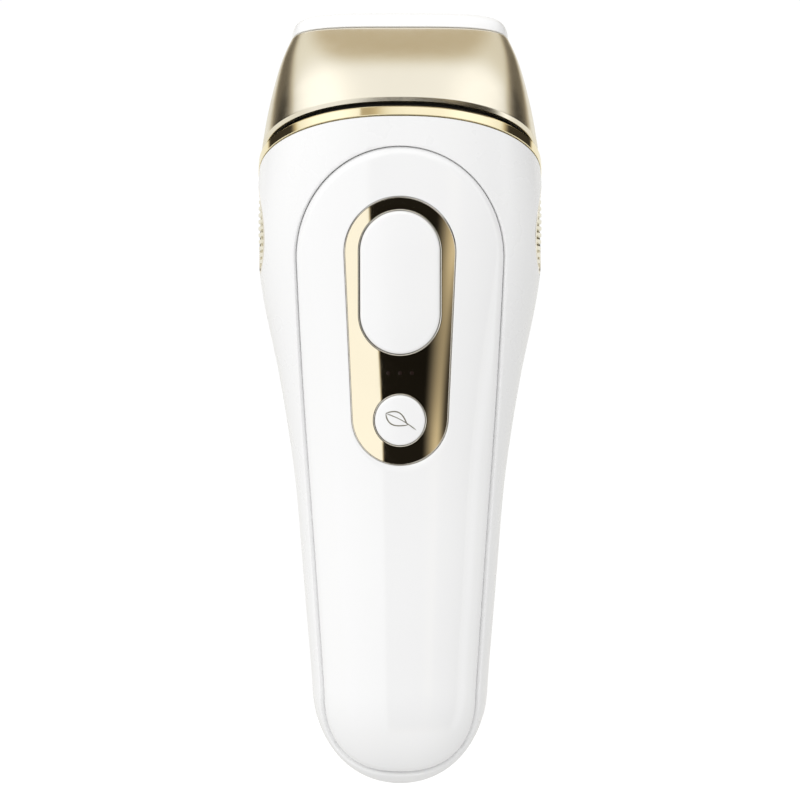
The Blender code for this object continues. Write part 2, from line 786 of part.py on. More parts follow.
def build_lamp(parts, cutters, neck):
    length, depth, tall = HOLDER_SIZE
    low, high = HOLDER_MIDDLE - tall / 2, HOLDER_MIDDLE + tall / 2
    along = (1, 0, 0)
    holder = box("lamp_holder", HOLDER_SIZE, (0, 0, HOLDER_MIDDLE), black_plastic(), parts, neck)
    well_size = (length - 2 * HOLDER_WALL, depth - 2 * HOLDER_WALL, tall)
    cut(holder, box("cut_holder_well", well_size, (0, 0, HOLDER_MIDDLE + HOLDER_FLOOR), None, cutters, neck))
    cut(holder, cylinder("cut_holder_ends", CAP_RADIUS + GAP, 0.060, (0, 0, 0), along, None, cutters, neck))

    reflector_size = (REFLECTOR_LENGTH, well_size[1] - 2 * GAP, REFLECTOR_HEIGHT)
    middle = low + HOLDER_FLOOR + GAP + REFLECTOR_HEIGHT / 2
    reflector = box("reflector", reflector_size, (0, 0, middle), mirror_metal(), parts, neck)
    trough = cylinder("cut_trough", TROUGH_RADIUS, 0.060, (0, 0, 0), along, None, cutters, neck, sides=32)
    mouth = box("cut_mouth", (0.060, 2 * TROUGH_RADIUS, 0.012), (0, 0, 0.006), None, cutters, neck)
    cut(reflector, trough)
    cut(reflector, mouth)

    cylinder("flash_lamp", LAMP_RADIUS, 2 * LAMP_HALF_LENGTH, (0, 0, 0), along, glass(), parts, neck)
    for name, side in (("left_lamp_cap", -1), ("right_lamp_cap", 1)):
        x = side * (LAMP_HALF_LENGTH + GAP + CAP_LENGTH / 2)
        cylinder(name, CAP_RADIUS, CAP_LENGTH, (x, 0, 0), along, steel(), parts, neck)
    orange = material("orange_filter", (0.9, 0.45, 0.12), 0.05)
    slot_prism("filter_glass", FILTER_SIZE, high + GAP, high + GAP + FILTER_THICKNESS, parts, neck, orange)


def build_electronics(parts, cutters):
    green, black, metal = board_green(), black_plastic(), steel()
    for name, size, place in (
        ("main_board", MAIN_BOARD_SIZE, MAIN_BOARD_PLACE),
        ("control_board", CONTROL_BOARD_SIZE, (0, BOARD_FACE + BOARD_THICKNESS / 2, CONTROL_BOARD_HEIGHT)),
    ):
        box(name, (size[0], BOARD_THICKNESS, size[1]), at(*place), green, parts)
    body_middle = BOARD_FACE - GAP - SWITCH_BODY / 2
    knob_middle = SWITCH_FACE + SWITCH_KNOB_LENGTH / 2
    for name, height in (("trigger_switch", TRIGGER_HEIGHT), ("mode_switch", MODE_HEIGHT)):
        size = (SWITCH_SIDE, SWITCH_BODY, SWITCH_SIDE)
        switch = box(name, size, at(0, body_middle, height), black, parts)
        knob = cylinder(
            f"join_{name}", SWITCH_KNOB_RADIUS, SWITCH_KNOB_LENGTH, at(0, knob_middle, height), ACROSS_DEPTH,
            None, cutters, sides=16
        )
        join(switch, knob)
    sleeve_blue = material("capacitor_sleeve", (0.03, 0.04, 0.10), 0.35)
    cylinder(
        "flash_capacitor", CAPACITOR_RADIUS, CAPACITOR_LENGTH, at(*CAPACITOR_PLACE), UPWARDS, sleeve_blue,
        parts, sides=32
    )
    middle = at(*TRANSFORMER_PLACE)
    core = box("transformer_core", CORE_SIZE, middle, metal, parts)
    for side in (-1, 1):
        place = middle + Vector((side * CORE_WINDOW_OFFSET, 0, 0))
        cut(core, box(f"cut_core_{side:+d}", CORE_WINDOW, place, None, cutters))
    copper = material("copper_wire", (0.75, 0.35, 0.18), 0.35, 1.0)
    winding = box("transformer_winding", WINDING_SIZE, middle, copper, parts)
    cut(winding, box("cut_winding", WINDING_HOLE, middle, None, cutters))
    cylinder("trigger_coil", COIL_RADIUS, COIL_LENGTH, at(*COIL_PLACE), UPWARDS, copper, parts)


def build_status_lights(parts):
    for name, x in status_places():
        middle = -front_depth(STATUS_HEIGHT) + STATUS_SUNK + STATUS_LENGTH / 2
        cylinder(
            name, STATUS_RADIUS, STATUS_LENGTH, at(x, middle, STATUS_HEIGHT), ACROSS_DEPTH, glass(), parts,
            sides=12
        )


def build_fan(parts, cutters):
    centre = at(*FAN_PLACE)
    frame = box("fan_frame", FAN_SIZE, centre, black_plastic(), parts)
    duct_length = FAN_SIZE[2] - FAN_FLOOR
    duct_middle = centre + Vector((0, 0, FAN_FLOOR))
    cut(frame, cylinder("cut_fan_duct", DUCT_RADIUS, duct_length, duct_middle, UPWARDS, None, cutters))
    for i in range(4):
        angle = math.pi / 4 + math.pi / 2 * i
        place = centre + FAN_VENT_REACH * Vector((math.cos(angle), math.sin(angle), 0))
        place.z -= FAN_SIZE[2] / 2 - FAN_FLOOR
        hole = cylinder(
            f"cut_fan_vent_{i + 1}", FAN_VENT_RADIUS, 0.0060, place, UPWARDS, None, cutters, sides=16
        )
        cut(frame, hole)

    axis = bpy.data.objects.new("fan_axis", None)
    parts.objects.link(axis)
    axis.location = centre
    lift = (0, 0, ROTOR_LIFT)
    rotor = cylinder("fan_rotor", HUB_RADIUS, HUB_LENGTH, lift, UPWARDS, black_plastic(), parts, axis)
    for i in range(FAN_BLADES):
        blade = box(f"join_blade_{i + 1}", BLADE_SIZE, (0, 0, 0), None, cutters, axis)
        blade.data.transform(Matrix.Rotation(BLADE_PITCH, 4, "X"))
        blade.data.transform(Matrix.Translation((BLADE_REACH, 0, ROTOR_LIFT)))
        blade.rotation_euler = (0, 0, 2 * math.pi * i / FAN_BLADES)
        join(rotor, blade)


def build_heat_sink(parts, cutters):
    centre = at(*SINK_PLACE)
    sink = box("heat_sink", SINK_SIZE, centre, steel(), parts)
    for i in range(SINK_GROOVES):
        place = centre + Vector(((i - (SINK_GROOVES - 1) / 2) * SINK_PITCH, 0, -SINK_GROOVE_DROP))
        cut(sink, box(f"cut_fin_{i + 1}", SINK_GROOVE, place, None, cutters))


def build_inlet(parts, cutters):
    rim = smooth(HANDLE_STATIONS, INLET_HEIGHT, 3) - 0.0010
    middle = at(0, rim - INLET_LENGTH / 2, INLET_HEIGHT)
    inlet = cylinder("power_inlet", INLET_RADIUS, INLET_LENGTH, middle, ACROSS_DEPTH, black_plastic(), parts)
    bore_middle = middle + Vector((0, INLET_FLOOR, 0))
    bore_radius = INLET_RADIUS - INLET_WALL
    bore = cylinder("cut_inlet_bore", bore_radius, INLET_LENGTH, bore_middle, ACROSS_DEPTH, None, cutters)
    cut(inlet, bore)
    pin_middle = rim - INLET_LENGTH + INLET_FLOOR + GAP + PIN_LENGTH / 2
    cylinder(
        "inlet_pin", PIN_RADIUS, PIN_LENGTH, at(0, pin_middle, INLET_HEIGHT), ACROSS_DEPTH, steel(), parts,
        sides=12
    )


def build_screws(parts, cutters):
    for i, (x, height) in enumerate(SCREW_PLACES):
        screw = cylinder(
            f"shell_screw_{i + 1}", SCREW_HEAD_RADIUS, SCREW_HEAD_HEIGHT,
            at(x, SCREW_SEAT + GAP + SCREW_HEAD_HEIGHT / 2, height), ACROSS_DEPTH, steel(), parts
        )
        shank = cylinder(
            f"join_shank_{i + 1}", SHANK_RADIUS, SHANK_LENGTH,
            at(x, SCREW_SEAT + 0.0010 - SHANK_LENGTH / 2, height), ACROSS_DEPTH, None, cutters, sides=12
        )
        join(screw, shank)
        socket = cylinder(
            f"cut_socket_{i + 1}", SOCKET_RADIUS, 0.0020, at(x, SCREW_SEAT + 0.0020, height), ACROSS_DEPTH,
            None, cutters, sides=6
        )
        cut(screw, socket)


def build_lamp_leads(parts):
    for name, side in (("left_lamp_lead", -1), ("right_lamp_lead", 1)):
        curve = bpy.data.curves.new(name, "CURVE")
        curve.dimensions = "3D"
        curve.bevel_depth = LEAD_RADIUS
        curve.bevel_resolution = 2
        curve.use_fill_caps = True
        spline = curve.splines.new("POLY")
        spline.points.add(len(LEAD_ROUTE) - 1)
        for point, (x, y, height) in zip(spline.points, LEAD_ROUTE):
            point.co = (*at(x * side, y, height), 1.0)
        lead = bpy.data.objects.new(name, curve)
        curve.materials.append(material("red_silicone", (0.45, 0.03, 0.03), 0.45))
        parts.objects.link(lead)


def main():
    clear_scene()
    parts = new_collection("ipl_hair_remover")
    cutters = new_collection("cutters", hidden=True)
    neck = neck_axis("neck_axis", parts)
    head = neck_axis("head_axis", parts)
    build_shells(parts, cutters)
    build_vents(parts, cutters)
    build_button("trigger_button", trigger_outline, TRIGGER_HEIGHT, TRIGGER_MARGIN, parts, cutters)
    build_button("mode_button", mode_outline, MODE_HEIGHT, MODE_MARGIN, parts, cutters)
    build_status_lights(parts)
    build_neck(parts, cutters, neck)
    build_head(parts, cutters, head)
    build_lamp(parts, cutters, neck)
    build_electronics(parts, cutters)
    build_fan(parts, cutters)
    build_heat_sink(parts, cutters)
    build_inlet(parts, cutters)
    build_screws(parts, cutters)
    build_lamp_leads(parts)


main()
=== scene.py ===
"""IPL hair remover: the visible pieces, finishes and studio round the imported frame."""

import json
import math

import bpy
import numpy as np
from mathutils import Matrix, Vector


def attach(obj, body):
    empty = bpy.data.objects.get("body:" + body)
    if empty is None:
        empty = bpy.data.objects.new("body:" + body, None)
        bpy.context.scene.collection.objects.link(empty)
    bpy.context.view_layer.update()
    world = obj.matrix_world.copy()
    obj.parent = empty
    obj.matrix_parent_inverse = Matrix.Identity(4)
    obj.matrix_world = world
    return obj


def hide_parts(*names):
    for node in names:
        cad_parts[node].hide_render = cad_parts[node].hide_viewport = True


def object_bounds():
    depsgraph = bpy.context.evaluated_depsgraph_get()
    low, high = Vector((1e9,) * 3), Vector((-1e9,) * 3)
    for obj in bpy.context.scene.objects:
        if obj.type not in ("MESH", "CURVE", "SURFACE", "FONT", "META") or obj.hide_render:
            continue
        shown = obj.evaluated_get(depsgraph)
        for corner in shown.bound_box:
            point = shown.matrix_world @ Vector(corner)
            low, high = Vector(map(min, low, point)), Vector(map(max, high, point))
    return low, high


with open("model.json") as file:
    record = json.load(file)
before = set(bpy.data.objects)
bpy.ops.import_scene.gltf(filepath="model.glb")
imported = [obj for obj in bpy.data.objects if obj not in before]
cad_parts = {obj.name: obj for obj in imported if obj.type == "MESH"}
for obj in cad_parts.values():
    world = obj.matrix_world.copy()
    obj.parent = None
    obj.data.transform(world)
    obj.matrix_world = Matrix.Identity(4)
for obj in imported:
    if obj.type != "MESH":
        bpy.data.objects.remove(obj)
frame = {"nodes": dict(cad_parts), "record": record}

bl_info = {
    "name": "IPL Hair Remover",
    "version": (1, 0, 0),
    "blender": (4, 5, 0),
    "location": "View3D > Sidebar > Hair Remover",
    "description": "Builds the shells, controls, gold head and studio of a handheld IPL hair remover",
    "category": "Object",
}

MM = 0.001
CAD_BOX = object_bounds()
GRIP_HEIGHT = 48 * MM
COLLAR_HEIGHT = 133.3 * MM
FOOT_ROUNDING = 20 * MM
SECTION_POWER = 2.8
TILT_START = 70 * MM
HEAD_TILT = math.radians(22)
LEAN_BACK = Matrix.Rotation(-HEAD_TILT, 4, "X")
COLLAR_BOW = 3.8 * MM
GAP = 0.3 * MM

SHELL_WALL = 2.6 * MM
SEAM_TURN = 0.0013
PANEL_BOTTOM, PANEL_TOP = 2.2 * MM, 136.0 * MM
PANEL_FOOT_POWER = 2.4
PANEL_THICKNESS, PANEL_POCKET_DEPTH = 1.3 * MM, 1.7 * MM
PANEL_EDGE_FALL, PANEL_EDGE_POWER = 1.0 * MM, 1.6
POCKET_SPINE = (30 * MM, 120 * MM)
MOUTH_RISE = 2.0 * MM

# heights above the foot; the plate's ends are (height, radius)
PLATE_LOW, PLATE_HIGH = (79.0 * MM, 10.2 * MM), (113.7 * MM, 11.75 * MM)
PLATE_GAP, PLATE_THICKNESS, PLATE_RISE = 0.16 * MM, 1.4 * MM, 0.04 * MM
TRIGGER_HEIGHT, TRIGGER_SIZE = 107.4 * MM, (17.1 * MM, 30.4 * MM)
TRIGGER_ENDS = [TRIGGER_HEIGHT + side * (TRIGGER_SIZE[1] - TRIGGER_SIZE[0]) / 2 for side in (-1, 1)]
MODE_HEIGHT, MODE_RADIUS = 78.3 * MM, 5.4 * MM
BUTTON_MARGIN, BUTTON_DEPTH = 0.07 * MM, 2.2 * MM
TRIGGER_EDGE, TRIGGER_CROWN = 0.8 * MM, 0.25 * MM
MODE_EDGE, MODE_PROUD, MODE_CROWN = 0.5 * MM, 0.55 * MM, 0.15 * MM
SHELL_HOLE_DEPTH, PLATE_HOLE_DEPTH, PLATE_HOLE_LIP = 4.5 * MM, 4.0 * MM, 0.06 * MM
STATUS_HEIGHT, STATUS_PITCH = 88.3 * MM, 2.5 * MM
LEAF_LENGTH, LEAF_BELLY, LEAF_TURN = 2.6 * MM, 1.45 * MM, math.radians(-29)
LEAF_MIDDLE = (-0.7 * MM, MODE_HEIGHT + 0.3 * MM)
LEAF_DEPTH, LEAF_LINE, LEAF_VEIN = -0.70 * MM, 0.28 * MM, 0.22 * MM
VENT_CENTRE, VENT_HALF = (-3.5 * MM, 119.4 * MM), (8.5 * MM, 10.0 * MM)
VENT_SPREAD, VENT_BAR_END = 1.84, 0.5 * MM
SCREW_PLACES = ((-12.5 * MM, 30 * MM), (12.5 * MM, 30 * MM), (-19 * MM, 100 * MM), (19 * MM, 100 * MM))
SCREW_HEAD_RADIUS, SCREW_HEAD_DEPTHS = 2.2 * MM, (4.3 * MM, 5.9 * MM)
SOCKET_RADIUS, SOCKET_FLOOR = 1.0 * MM, 5.0 * MM
SEAT_RADIUS, SEAT_DEPTH = 2.6 * MM, 4.0 * MM
BOSS_INSET, SCREW_ROUNDING = 0.6 * MM, 0.3 * MM
INLET_HEIGHT, INLET_RADIUS, INLET_WALL = 18 * MM, 4 * MM, 1.4 * MM
INLET_RIM, INLET_LENGTH, INLET_FLOOR, INLET_ROUNDING = 11.36 * MM, 10 * MM, 8.5 * MM, 0.25 * MM
THROUGH_BACK = 30 * MM

CAMERA_DISTANCE, CAMERA_LEVEL = 0.9587, 34.6 * MM
CAMERA_LENS, SENSOR_WIDTH = 200.0, 36.0
FLOOR_SIZE, FLOOR_DROP, FLOOR_GLOW = 6.0, 0.20, 0.25
# name, place, size, watts
LIGHTS = (("key_light", (-0.75, -0.70, 0.55), 0.6, 2.9), ("back_light", (0.5, 0.8, 0.7), 0.9, 0.5))
LIGHT_AIM = Vector((0, 0, 0.03))

# profiles in millimetres: (margin, depth) on the front skin
PANEL_HOLE_PROFILE = ((0.12, 0), (0.03, 0.05), (0, 0.2), (0, 1.3))
PLATE_RIM_PROFILE = ((0.06, 0.25), (0.06, -0.02), (0.0, -0.07), (-0.09, -0.08), (-0.17, -0.05), (-0.2, 0.25))
BEZEL_PROFILE = (
    (0.26, 0.9), (0.26, 0.06), (0.22, -0.04), (0.14, -0.07), (0.07, -0.04), (0.04, 0.06), (0.04, 0.9),
)
# (radius, depth) on the front skin
STATUS_PROFILE = ((0.01, -0.05), (0.34, -0.05), (0.40, -0.045), (0.42, 0.0), (0.42, 0.3), (0.01, 0.3))
# (radius, depth) of a screw's boss: no depth means just under the back skin
BOSS_PROFILE = ((3.6, None), (3.6, 2.6), (1.3, 2.6), (1.3, 4.2), (2.58, 4.2), (2.58, None))
# (margin or rise, distance out) on the side skin
VENT_HOLE_PROFILE = ((0.6, 3.0), (0.35, 0.3), (0.12, 0.0), (0.02, -0.12), (0.0, -0.4), (0.0, -6.0))
VENT_RIM_PROFILE = (
    (-0.2, -1.6), (-0.2, -0.2), (-0.3, -0.05), (-0.62, -0.05), (-0.75, -0.25), (-0.75, -1.6),
)
VENT_BAR_PROFILE = (
    (-0.42, -0.5), (-0.25, -0.28), (0.25, -0.28), (0.42, -0.5), (0.42, -1.5), (-0.42, -1.5),
)
# (distance along the head's axis, inset)
TRIM_PROFILE = ((0.3, 0.25), (0.36, 0.0), (0.46, -0.1), (2.1, -0.1), (2.5, 0.3), (2.5, 4.3), (0.3, 4.3))
SEAL_PROFILE = ((2.8, 4.3), (2.8, 3.2), (2.9, 3.0), (3.1, 3.0), (3.2, 3.2), (3.2, 4.3))
NECK_OPENING, LIP_OPENING, OPENING_CORNER = (45.0 * MM, 16.6 * MM), (40.0 * MM, 14.6 * MM), 1.5 * MM
NECK_DECK = (-0.5 * MM, -2.0 * MM)
NECK_PROFILE = ((-2.0, 4.6), (8.6, 4.6), (8.9, 4.7), (9.0, 4.95), (9.0, 5.9), (8.8, 6.2), (-0.5, 6.2))
HEAD_WALL, HEAD_RIM_STEP = 1.6, 0.25
LIP_FOOT_PROFILE, LIP_NECK_PROFILE = ((3.8, 2.1), (3.6, 2.4)), ((3.6, 4.5), (3.8, 4.3), (9.3, 4.3))
LIP_WALL_PROFILE = ((10.6, 1.9), (8.0, 1.9), (5.0, 1.9))
LIP_DECK = (9.3 * MM, 10.6 * MM)
HEAD_CHAMFER = ((0, 1.5), (0, 0.72), (0.05, 0.6), (0.12, 0.54), (0.68, 0.08), (0.78, 0.02))
WINDOW_SEAT_PROFILE = ((24.9, 2.1), (28.1, 1.9), (28.2, 1.2), (28.2, 0.35), (28.3, 0.22))
WINDOW_TOP, WINDOW_POWER = 32.5, 2.5
# (width, depth, corner, distance along the head's axis)
WINDOW_HOLE_PROFILE = (
    (36.7, 10.7, 1.8, 32.5), (36.15, 10.15, 1.55, 32.35), (36.0, 10.0, 1.5, 32.1), (36.0, 10.0, 1.5, 24.9),
)

# height above the foot, half width, front depth, back depth
HANDLE_STATIONS = np.array((
    (0.0, 18.40, 12.2, 11.3),
    (20.0, 18.80, 13.0, 12.5),
    (33.0, 19.80, 13.8, 13.6),
    (52.0, 21.35, 14.6, 14.6),
    (65.0, 22.50, 15.4, 14.6),
    (78.0, 24.30, 16.6, 14.7),
    (91.0, 26.50, 18.2, 15.4),
    (104.0, 29.00, 20.0, 16.8),
    (114.0, 30.35, 21.3, 18.4),
    (124.0, 30.70, 22.2, 19.7),
    (133.3, 30.30, 22.6, 20.5),
)) * MM
PANEL_STATIONS = np.array(((20.0, 16.9), (50.0, 18.9), (85.0, 21.2), (112.5, 22.4))) * MM
# along the head's axis, half width, front depth, back depth, section power
HEAD_STATIONS = np.array((
    (4.0, 29.85, 23.9, 21.7, 2.8),
    (10.5, 28.80, 22.2, 20.0, 2.9),
    (17.5, 27.25, 18.6, 17.0, 3.1),
    (23.0, 25.70, 14.5, 13.8, 3.4),
    (27.9, 23.75, 10.4, 10.4, 3.8),
)) * (MM, MM, MM, MM, 1.0)


# Shapes ---------------------------------------------------------------------------------


def spline(stations, column):
    """A natural cubic curve through one column of the stations, as a function of their first."""
    x, y = stations[:, 0], stations[:, column]
    n, step = len(x), np.diff(x)
    system, right = np.eye(n), np.zeros(n)
    for i in range(1, n - 1):
        system[i, i - 1:i + 2] = step[i - 1], 2 * (step[i - 1] + step[i]), step[i]
        right[i] = 6 * ((y[i + 1] - y[i]) / step[i] - (y[i] - y[i - 1]) / step[i - 1])
    bend = np.linalg.solve(system, right)

    def value(place):
        k = np.clip(np.searchsorted(x, place, "right") - 1, 0, n - 2)
        a, b, h = x[k + 1] - place, place - x[k], step[k]
        return (
            (bend[k] * a ** 3 + bend[k + 1] * b ** 3) / (6 * h)
            + (y[k] / h - bend[k] * h / 6) * a
            + (y[k + 1] / h - bend[k + 1] * h / 6) * b
        )

    return value


HANDLE_WIDTH, HANDLE_FRONT, HANDLE_BACK = (spline(HANDLE_STATIONS, k) for k in (1, 2, 3))
PANEL_WIDTH = spline(PANEL_STATIONS, 1)
HEAD_WIDTH, HEAD_FRONT, HEAD_BACK, HEAD_POWER = (spline(HEAD_STATIONS, k) for k in (1, 2, 3, 4))


def tilt_share(height):
    """How much of the collar's shape a handle ring has: none in the grip, all at the collar."""
    t = np.clip((height - TILT_START) / (COLLAR_HEIGHT - TILT_START), 0, 1)
    return t * t * (3 - 2 * t)


def lean(height):
    return math.tan(HEAD_TILT) * tilt_share(height)


def collar_drop(x, share):
    """How far a point sinks along the head's axis, so that the collar's line bows down to its sides."""
    return COLLAR_BOW * share * (x / HANDLE_STATIONS[-1, 1]) ** 2


def swell(height, inset=0.0):
    reach = np.clip((FOOT_ROUNDING - height) / (FOOT_ROUNDING - inset), 0, 1)
    return np.maximum(1 - reach * reach, 1e-6) ** 0.48


def handle_point(height, angle, inset=0.0):
    """Points of the handle's skin: the angle runs from the right side over the back to the left."""
    full = swell(height, inset)
    c, s = np.cos(angle), np.sin(angle)
    depth = np.where(s > 0, HANDLE_BACK(height), HANDLE_FRONT(height)) - inset
    x = (HANDLE_WIDTH(height) - inset) * full * np.sign(c) * np.abs(c) ** (2 / SECTION_POWER)
    y = depth * full * np.sign(s) * np.abs(s) ** (2 / SECTION_POWER)
    drop = collar_drop(x, tilt_share(height))
    z = height - y * lean(height) - drop * math.cos(HEAD_TILT) - GRIP_HEIGHT
    return np.stack(np.broadcast_arrays(x, y - drop * math.sin(HEAD_TILT), z), -1)


def handle_face(x, z, depth, facing):
    """Points of the front or back skin from their place across and their height above the foot."""
    low, high = np.zeros_like(z), np.full_like(z, COLLAR_HEIGHT)
    for _ in range(40):
        height = (low + high) / 2
        full = swell(height)
        side = np.clip(np.abs(x) / (HANDLE_WIDTH(height) * full), 0, 1)
        y = facing * depth(height) * full * (1 - side ** SECTION_POWER) ** (1 / SECTION_POWER)
        drop = collar_drop(x, tilt_share(height))
        below = height - y * lean(height) - drop * math.cos(HEAD_TILT) < z
        low, high = np.where(below, height, low), np.where(below, high, height)
    return np.stack((x, y - drop * math.sin(HEAD_TILT), z - GRIP_HEIGHT), -1)


def handle_front(x, z):
    return handle_face(x, z, HANDLE_FRONT, -1)


def on_front(flat, depth=0.0):
    """Flat points (across, height) laid on the front skin and sunk into it by a depth."""
    x, z = np.array(flat, float).T
    step = 0.05 * MM
    right = handle_front(x + step, z) - handle_front(x - step, z)
    up = handle_front(x, z + step) - handle_front(x, z - step)
    inward = -np.cross(right, up)
    inward /= np.linalg.norm(inward, axis=1)[:, None]
    return handle_front(x, z) + inward * depth


def handle_side(y, z, side):
    """Points of the side skin from their depth and their height above the foot."""
    low, high, drop = np.zeros_like(z), np.full_like(z, COLLAR_HEIGHT), np.zeros_like(z)
    for _ in range(40):
        height = (low + high) / 2
        own = y + drop * math.sin(HEAD_TILT)
        part = np.clip(np.abs(own) / np.where(own > 0, HANDLE_BACK(height), HANDLE_FRONT(height)), 0, 1)
        x = HANDLE_WIDTH(height) * (1 - part ** SECTION_POWER) ** (1 / SECTION_POWER)
        drop = collar_drop(x, tilt_share(height))
        below = height - own * lean(height) - drop * math.cos(HEAD_TILT) < z
        low, high = np.where(below, height, low), np.where(below, high, height)
    return np.stack((side * x, y, z - GRIP_HEIGHT), -1)


def side_loop(y, z, side, out):
    """Points of the side skin moved out from it."""
    place = handle_side(y, z, side)
    place[:, 0] += side * out
    return place


def resample(outline, count):
    """A closed outline's points spread evenly along it, starting from its first."""
    closed = np.vstack((outline, outline[:1]))
    along = np.concatenate(((0,), np.cumsum(np.linalg.norm(np.diff(closed, axis=0), axis=1))))
    places = np.linspace(0, along[-1], count, endpoint=False)
    return np.stack([np.interp(places, along, closed[:, k]) for k in range(2)], 1)


def grown(outline, margin):
    """A closed outline, anticlockwise, moved outwards by a margin."""
    edge = np.roll(outline, -1, 0) - np.roll(outline, 1, 0)
    out = np.stack((edge[:, 1], -edge[:, 0]), 1)
    return outline + margin * out / np.linalg.norm(out, axis=1)[:, None]


def mirrored(right):
    """An outline from its right half, which runs from the bottom up to the top."""
    left = right[-2:0:-1] * (-1, 1)
    return np.vstack((right, left))


def panel_outline(count=320):
    foot, shoulder = PANEL_STATIONS[0, 0], PANEL_STATIONS[-1, 0]
    t = np.linspace(0, 0.5 * math.pi, 40)
    across, down = np.sin(t) ** (2 / PANEL_FOOT_POWER), np.cos(t) ** (2 / PANEL_FOOT_POWER)
    low = np.stack((across * PANEL_WIDTH(foot), foot - down * (foot - PANEL_BOTTOM)), 1)
    z = np.linspace(foot, shoulder, 60)[1:-1]
    side = np.stack((PANEL_WIDTH(z), z), 1)
    high = np.stack((np.cos(t) * PANEL_WIDTH(shoulder), shoulder + np.sin(t) * (PANEL_TOP - shoulder)), 1)
    high[-1, 0] = 0.0
    return resample(mirrored(np.vstack((low, side, high))), count)


def pill_outline(low, high, count=240):
    """Two round ends, each (height, radius), joined by tangents."""
    slant = math.asin((high[1] - low[1]) / (high[0] - low[0]))
    lower = np.linspace(-0.5 * math.pi, -slant, 60)
    upper = np.linspace(-slant, 0.5 * math.pi, 60)
    right = np.vstack((
        np.stack((low[1] * np.cos(lower), low[0] + low[1] * np.sin(lower)), 1),
        np.stack((high[1] * np.cos(upper), high[0] + high[1] * np.sin(upper)), 1),
    ))
    right[0, 0] = right[-1, 0] = 0.0
    return resample(mirrored(right), count)


def oval(half_width, front, back, power, count=192):
    """A superellipse whose front and back depths differ, anticlockwise from its front."""
    angle = np.linspace(0, 2 * math.pi, 1440, endpoint=False) - 0.5 * math.pi
    c, s = np.cos(angle), np.sin(angle)
    depth = np.where(s > 0, back, front)
    x = half_width * np.sign(c) * np.abs(c) ** (2 / power)
    y = depth * np.sign(s) * np.abs(s) ** (2 / power)
    return resample(np.stack((x, y), 1), count)


def slot_outline(size, corner, count=192):
    """A rounded rectangle, anticlockwise from the middle of its front."""
    half = np.array(size) / 2 - corner
    points = [(0.0, -size[1] / 2)]
    for quarter, (sx, sy) in enumerate(((1, -1), (1, 1), (-1, 1), (-1, -1))):
        start = (quarter - 1) * 0.5 * math.pi
        for t in np.linspace(start, start + 0.5 * math.pi, 12):
            points.append((sx * half[0] + corner * math.cos(t), sy * half[1] + corner * math.sin(t)))
    return resample(np.array(points), count)


def head_oval(distance, inset=0.0):
    d = np.clip(distance, HEAD_STATIONS[0, 0], HEAD_STATIONS[-1, 0])
    sizes = [float(f(d)) - inset for f in (HEAD_WIDTH, HEAD_FRONT, HEAD_BACK)]
    return oval(*sizes, float(HEAD_POWER(d)))


def neck_oval(inset):
    _, half, front, back = HANDLE_STATIONS[-1]
    flat = math.cos(HEAD_TILT)
    return oval(half - inset, front / flat - inset, back / flat - inset, SECTION_POWER)


def on_head(flat, distance):
    """Flat points (across, back) at a distance along the head's axis from the collar's middle."""
    share = 1 - np.clip(distance / HEAD_STATIONS[-1, 0], 0, 1)
    local = np.column_stack((flat, distance - collar_drop(flat[:, 0], share)))
    turn = np.array(LEAN_BACK.to_3x3())
    return local @ turn.T + (0, 0, COLLAR_HEIGHT - GRIP_HEIGHT)


# Modelling steps --------------------------------------------------------------------------


def deselect():
    if bpy.context.object and bpy.context.object.mode != "OBJECT":
        bpy.ops.object.mode_set(mode="OBJECT")
    bpy.ops.object.select_all(action="DESELECT")


def activate(piece):
    deselect()
    bpy.context.view_layer.objects.active = piece
    piece.select_set(True)


def skin(name, rings, closed=True):
    """A skin grown from a circle by one extrusion for each further ring, then laid on the rings."""
    rings = list(rings) + ([rings[0]] if closed else [])
    deselect()
    bpy.ops.mesh.primitive_circle_add(vertices=len(rings[0]), radius=0.01)
    piece = bpy.context.object
    piece.name = piece.data.name = name
    bpy.ops.object.mode_set(mode="EDIT")
    for _ in rings[1:]:
        bpy.ops.mesh.extrude_region_move(TRANSFORM_OT_translate={"value": (0, 0, 0.001)})
    bpy.ops.object.mode_set(mode="OBJECT")
    piece.data.vertices.foreach_set("co", np.concatenate(rings).astype(np.float32).ravel())
    tidy_mesh(piece)
    return piece


def tidy_mesh(piece, threshold=2e-7):
    activate(piece)
    bpy.ops.object.mode_set(mode="EDIT")
    bpy.ops.mesh.select_all(action="SELECT")
    bpy.ops.mesh.remove_doubles(threshold=threshold)
    bpy.ops.mesh.normals_make_consistent(inside=False)
    bpy.ops.object.mode_set(mode="OBJECT")


def smooth_shade(piece, degrees=32):
    activate(piece)
    bpy.ops.object.shade_smooth_by_angle(angle=math.radians(degrees))
    return piece


def apply_modifier(piece, kind, **settings):
    activate(piece)
    modifier = piece.modifiers.new(kind.lower(), kind)
    for key, value in settings.items():
        setattr(modifier, key, value)
    bpy.ops.object.modifier_apply(modifier=modifier.name)


def carve(piece, cutter, operation="DIFFERENCE"):
    apply_modifier(piece, "BOOLEAN", object=cutter, operation=operation, solver="EXACT")
    bpy.data.objects.remove(cutter)


def rod(name, radius, start, end, sides=48):
    """A cylinder along Y at (across, height above the foot), from one depth to another."""
    (x, z), length = start[:2], end - start[2]
    deselect()
    bpy.ops.mesh.primitive_cylinder_add(
        vertices=sides, radius=radius, depth=length,
        location=(x, start[2] + length / 2, z - GRIP_HEIGHT), rotation=(0.5 * math.pi, 0, 0)
    )
    piece = bpy.context.object
    piece.name = piece.data.name = name
    return settle(piece)


def settle(piece):
    """Puts the piece's place into its mesh."""
    activate(piece)
    bpy.ops.object.transform_apply(location=True, rotation=True, scale=True)
    return piece


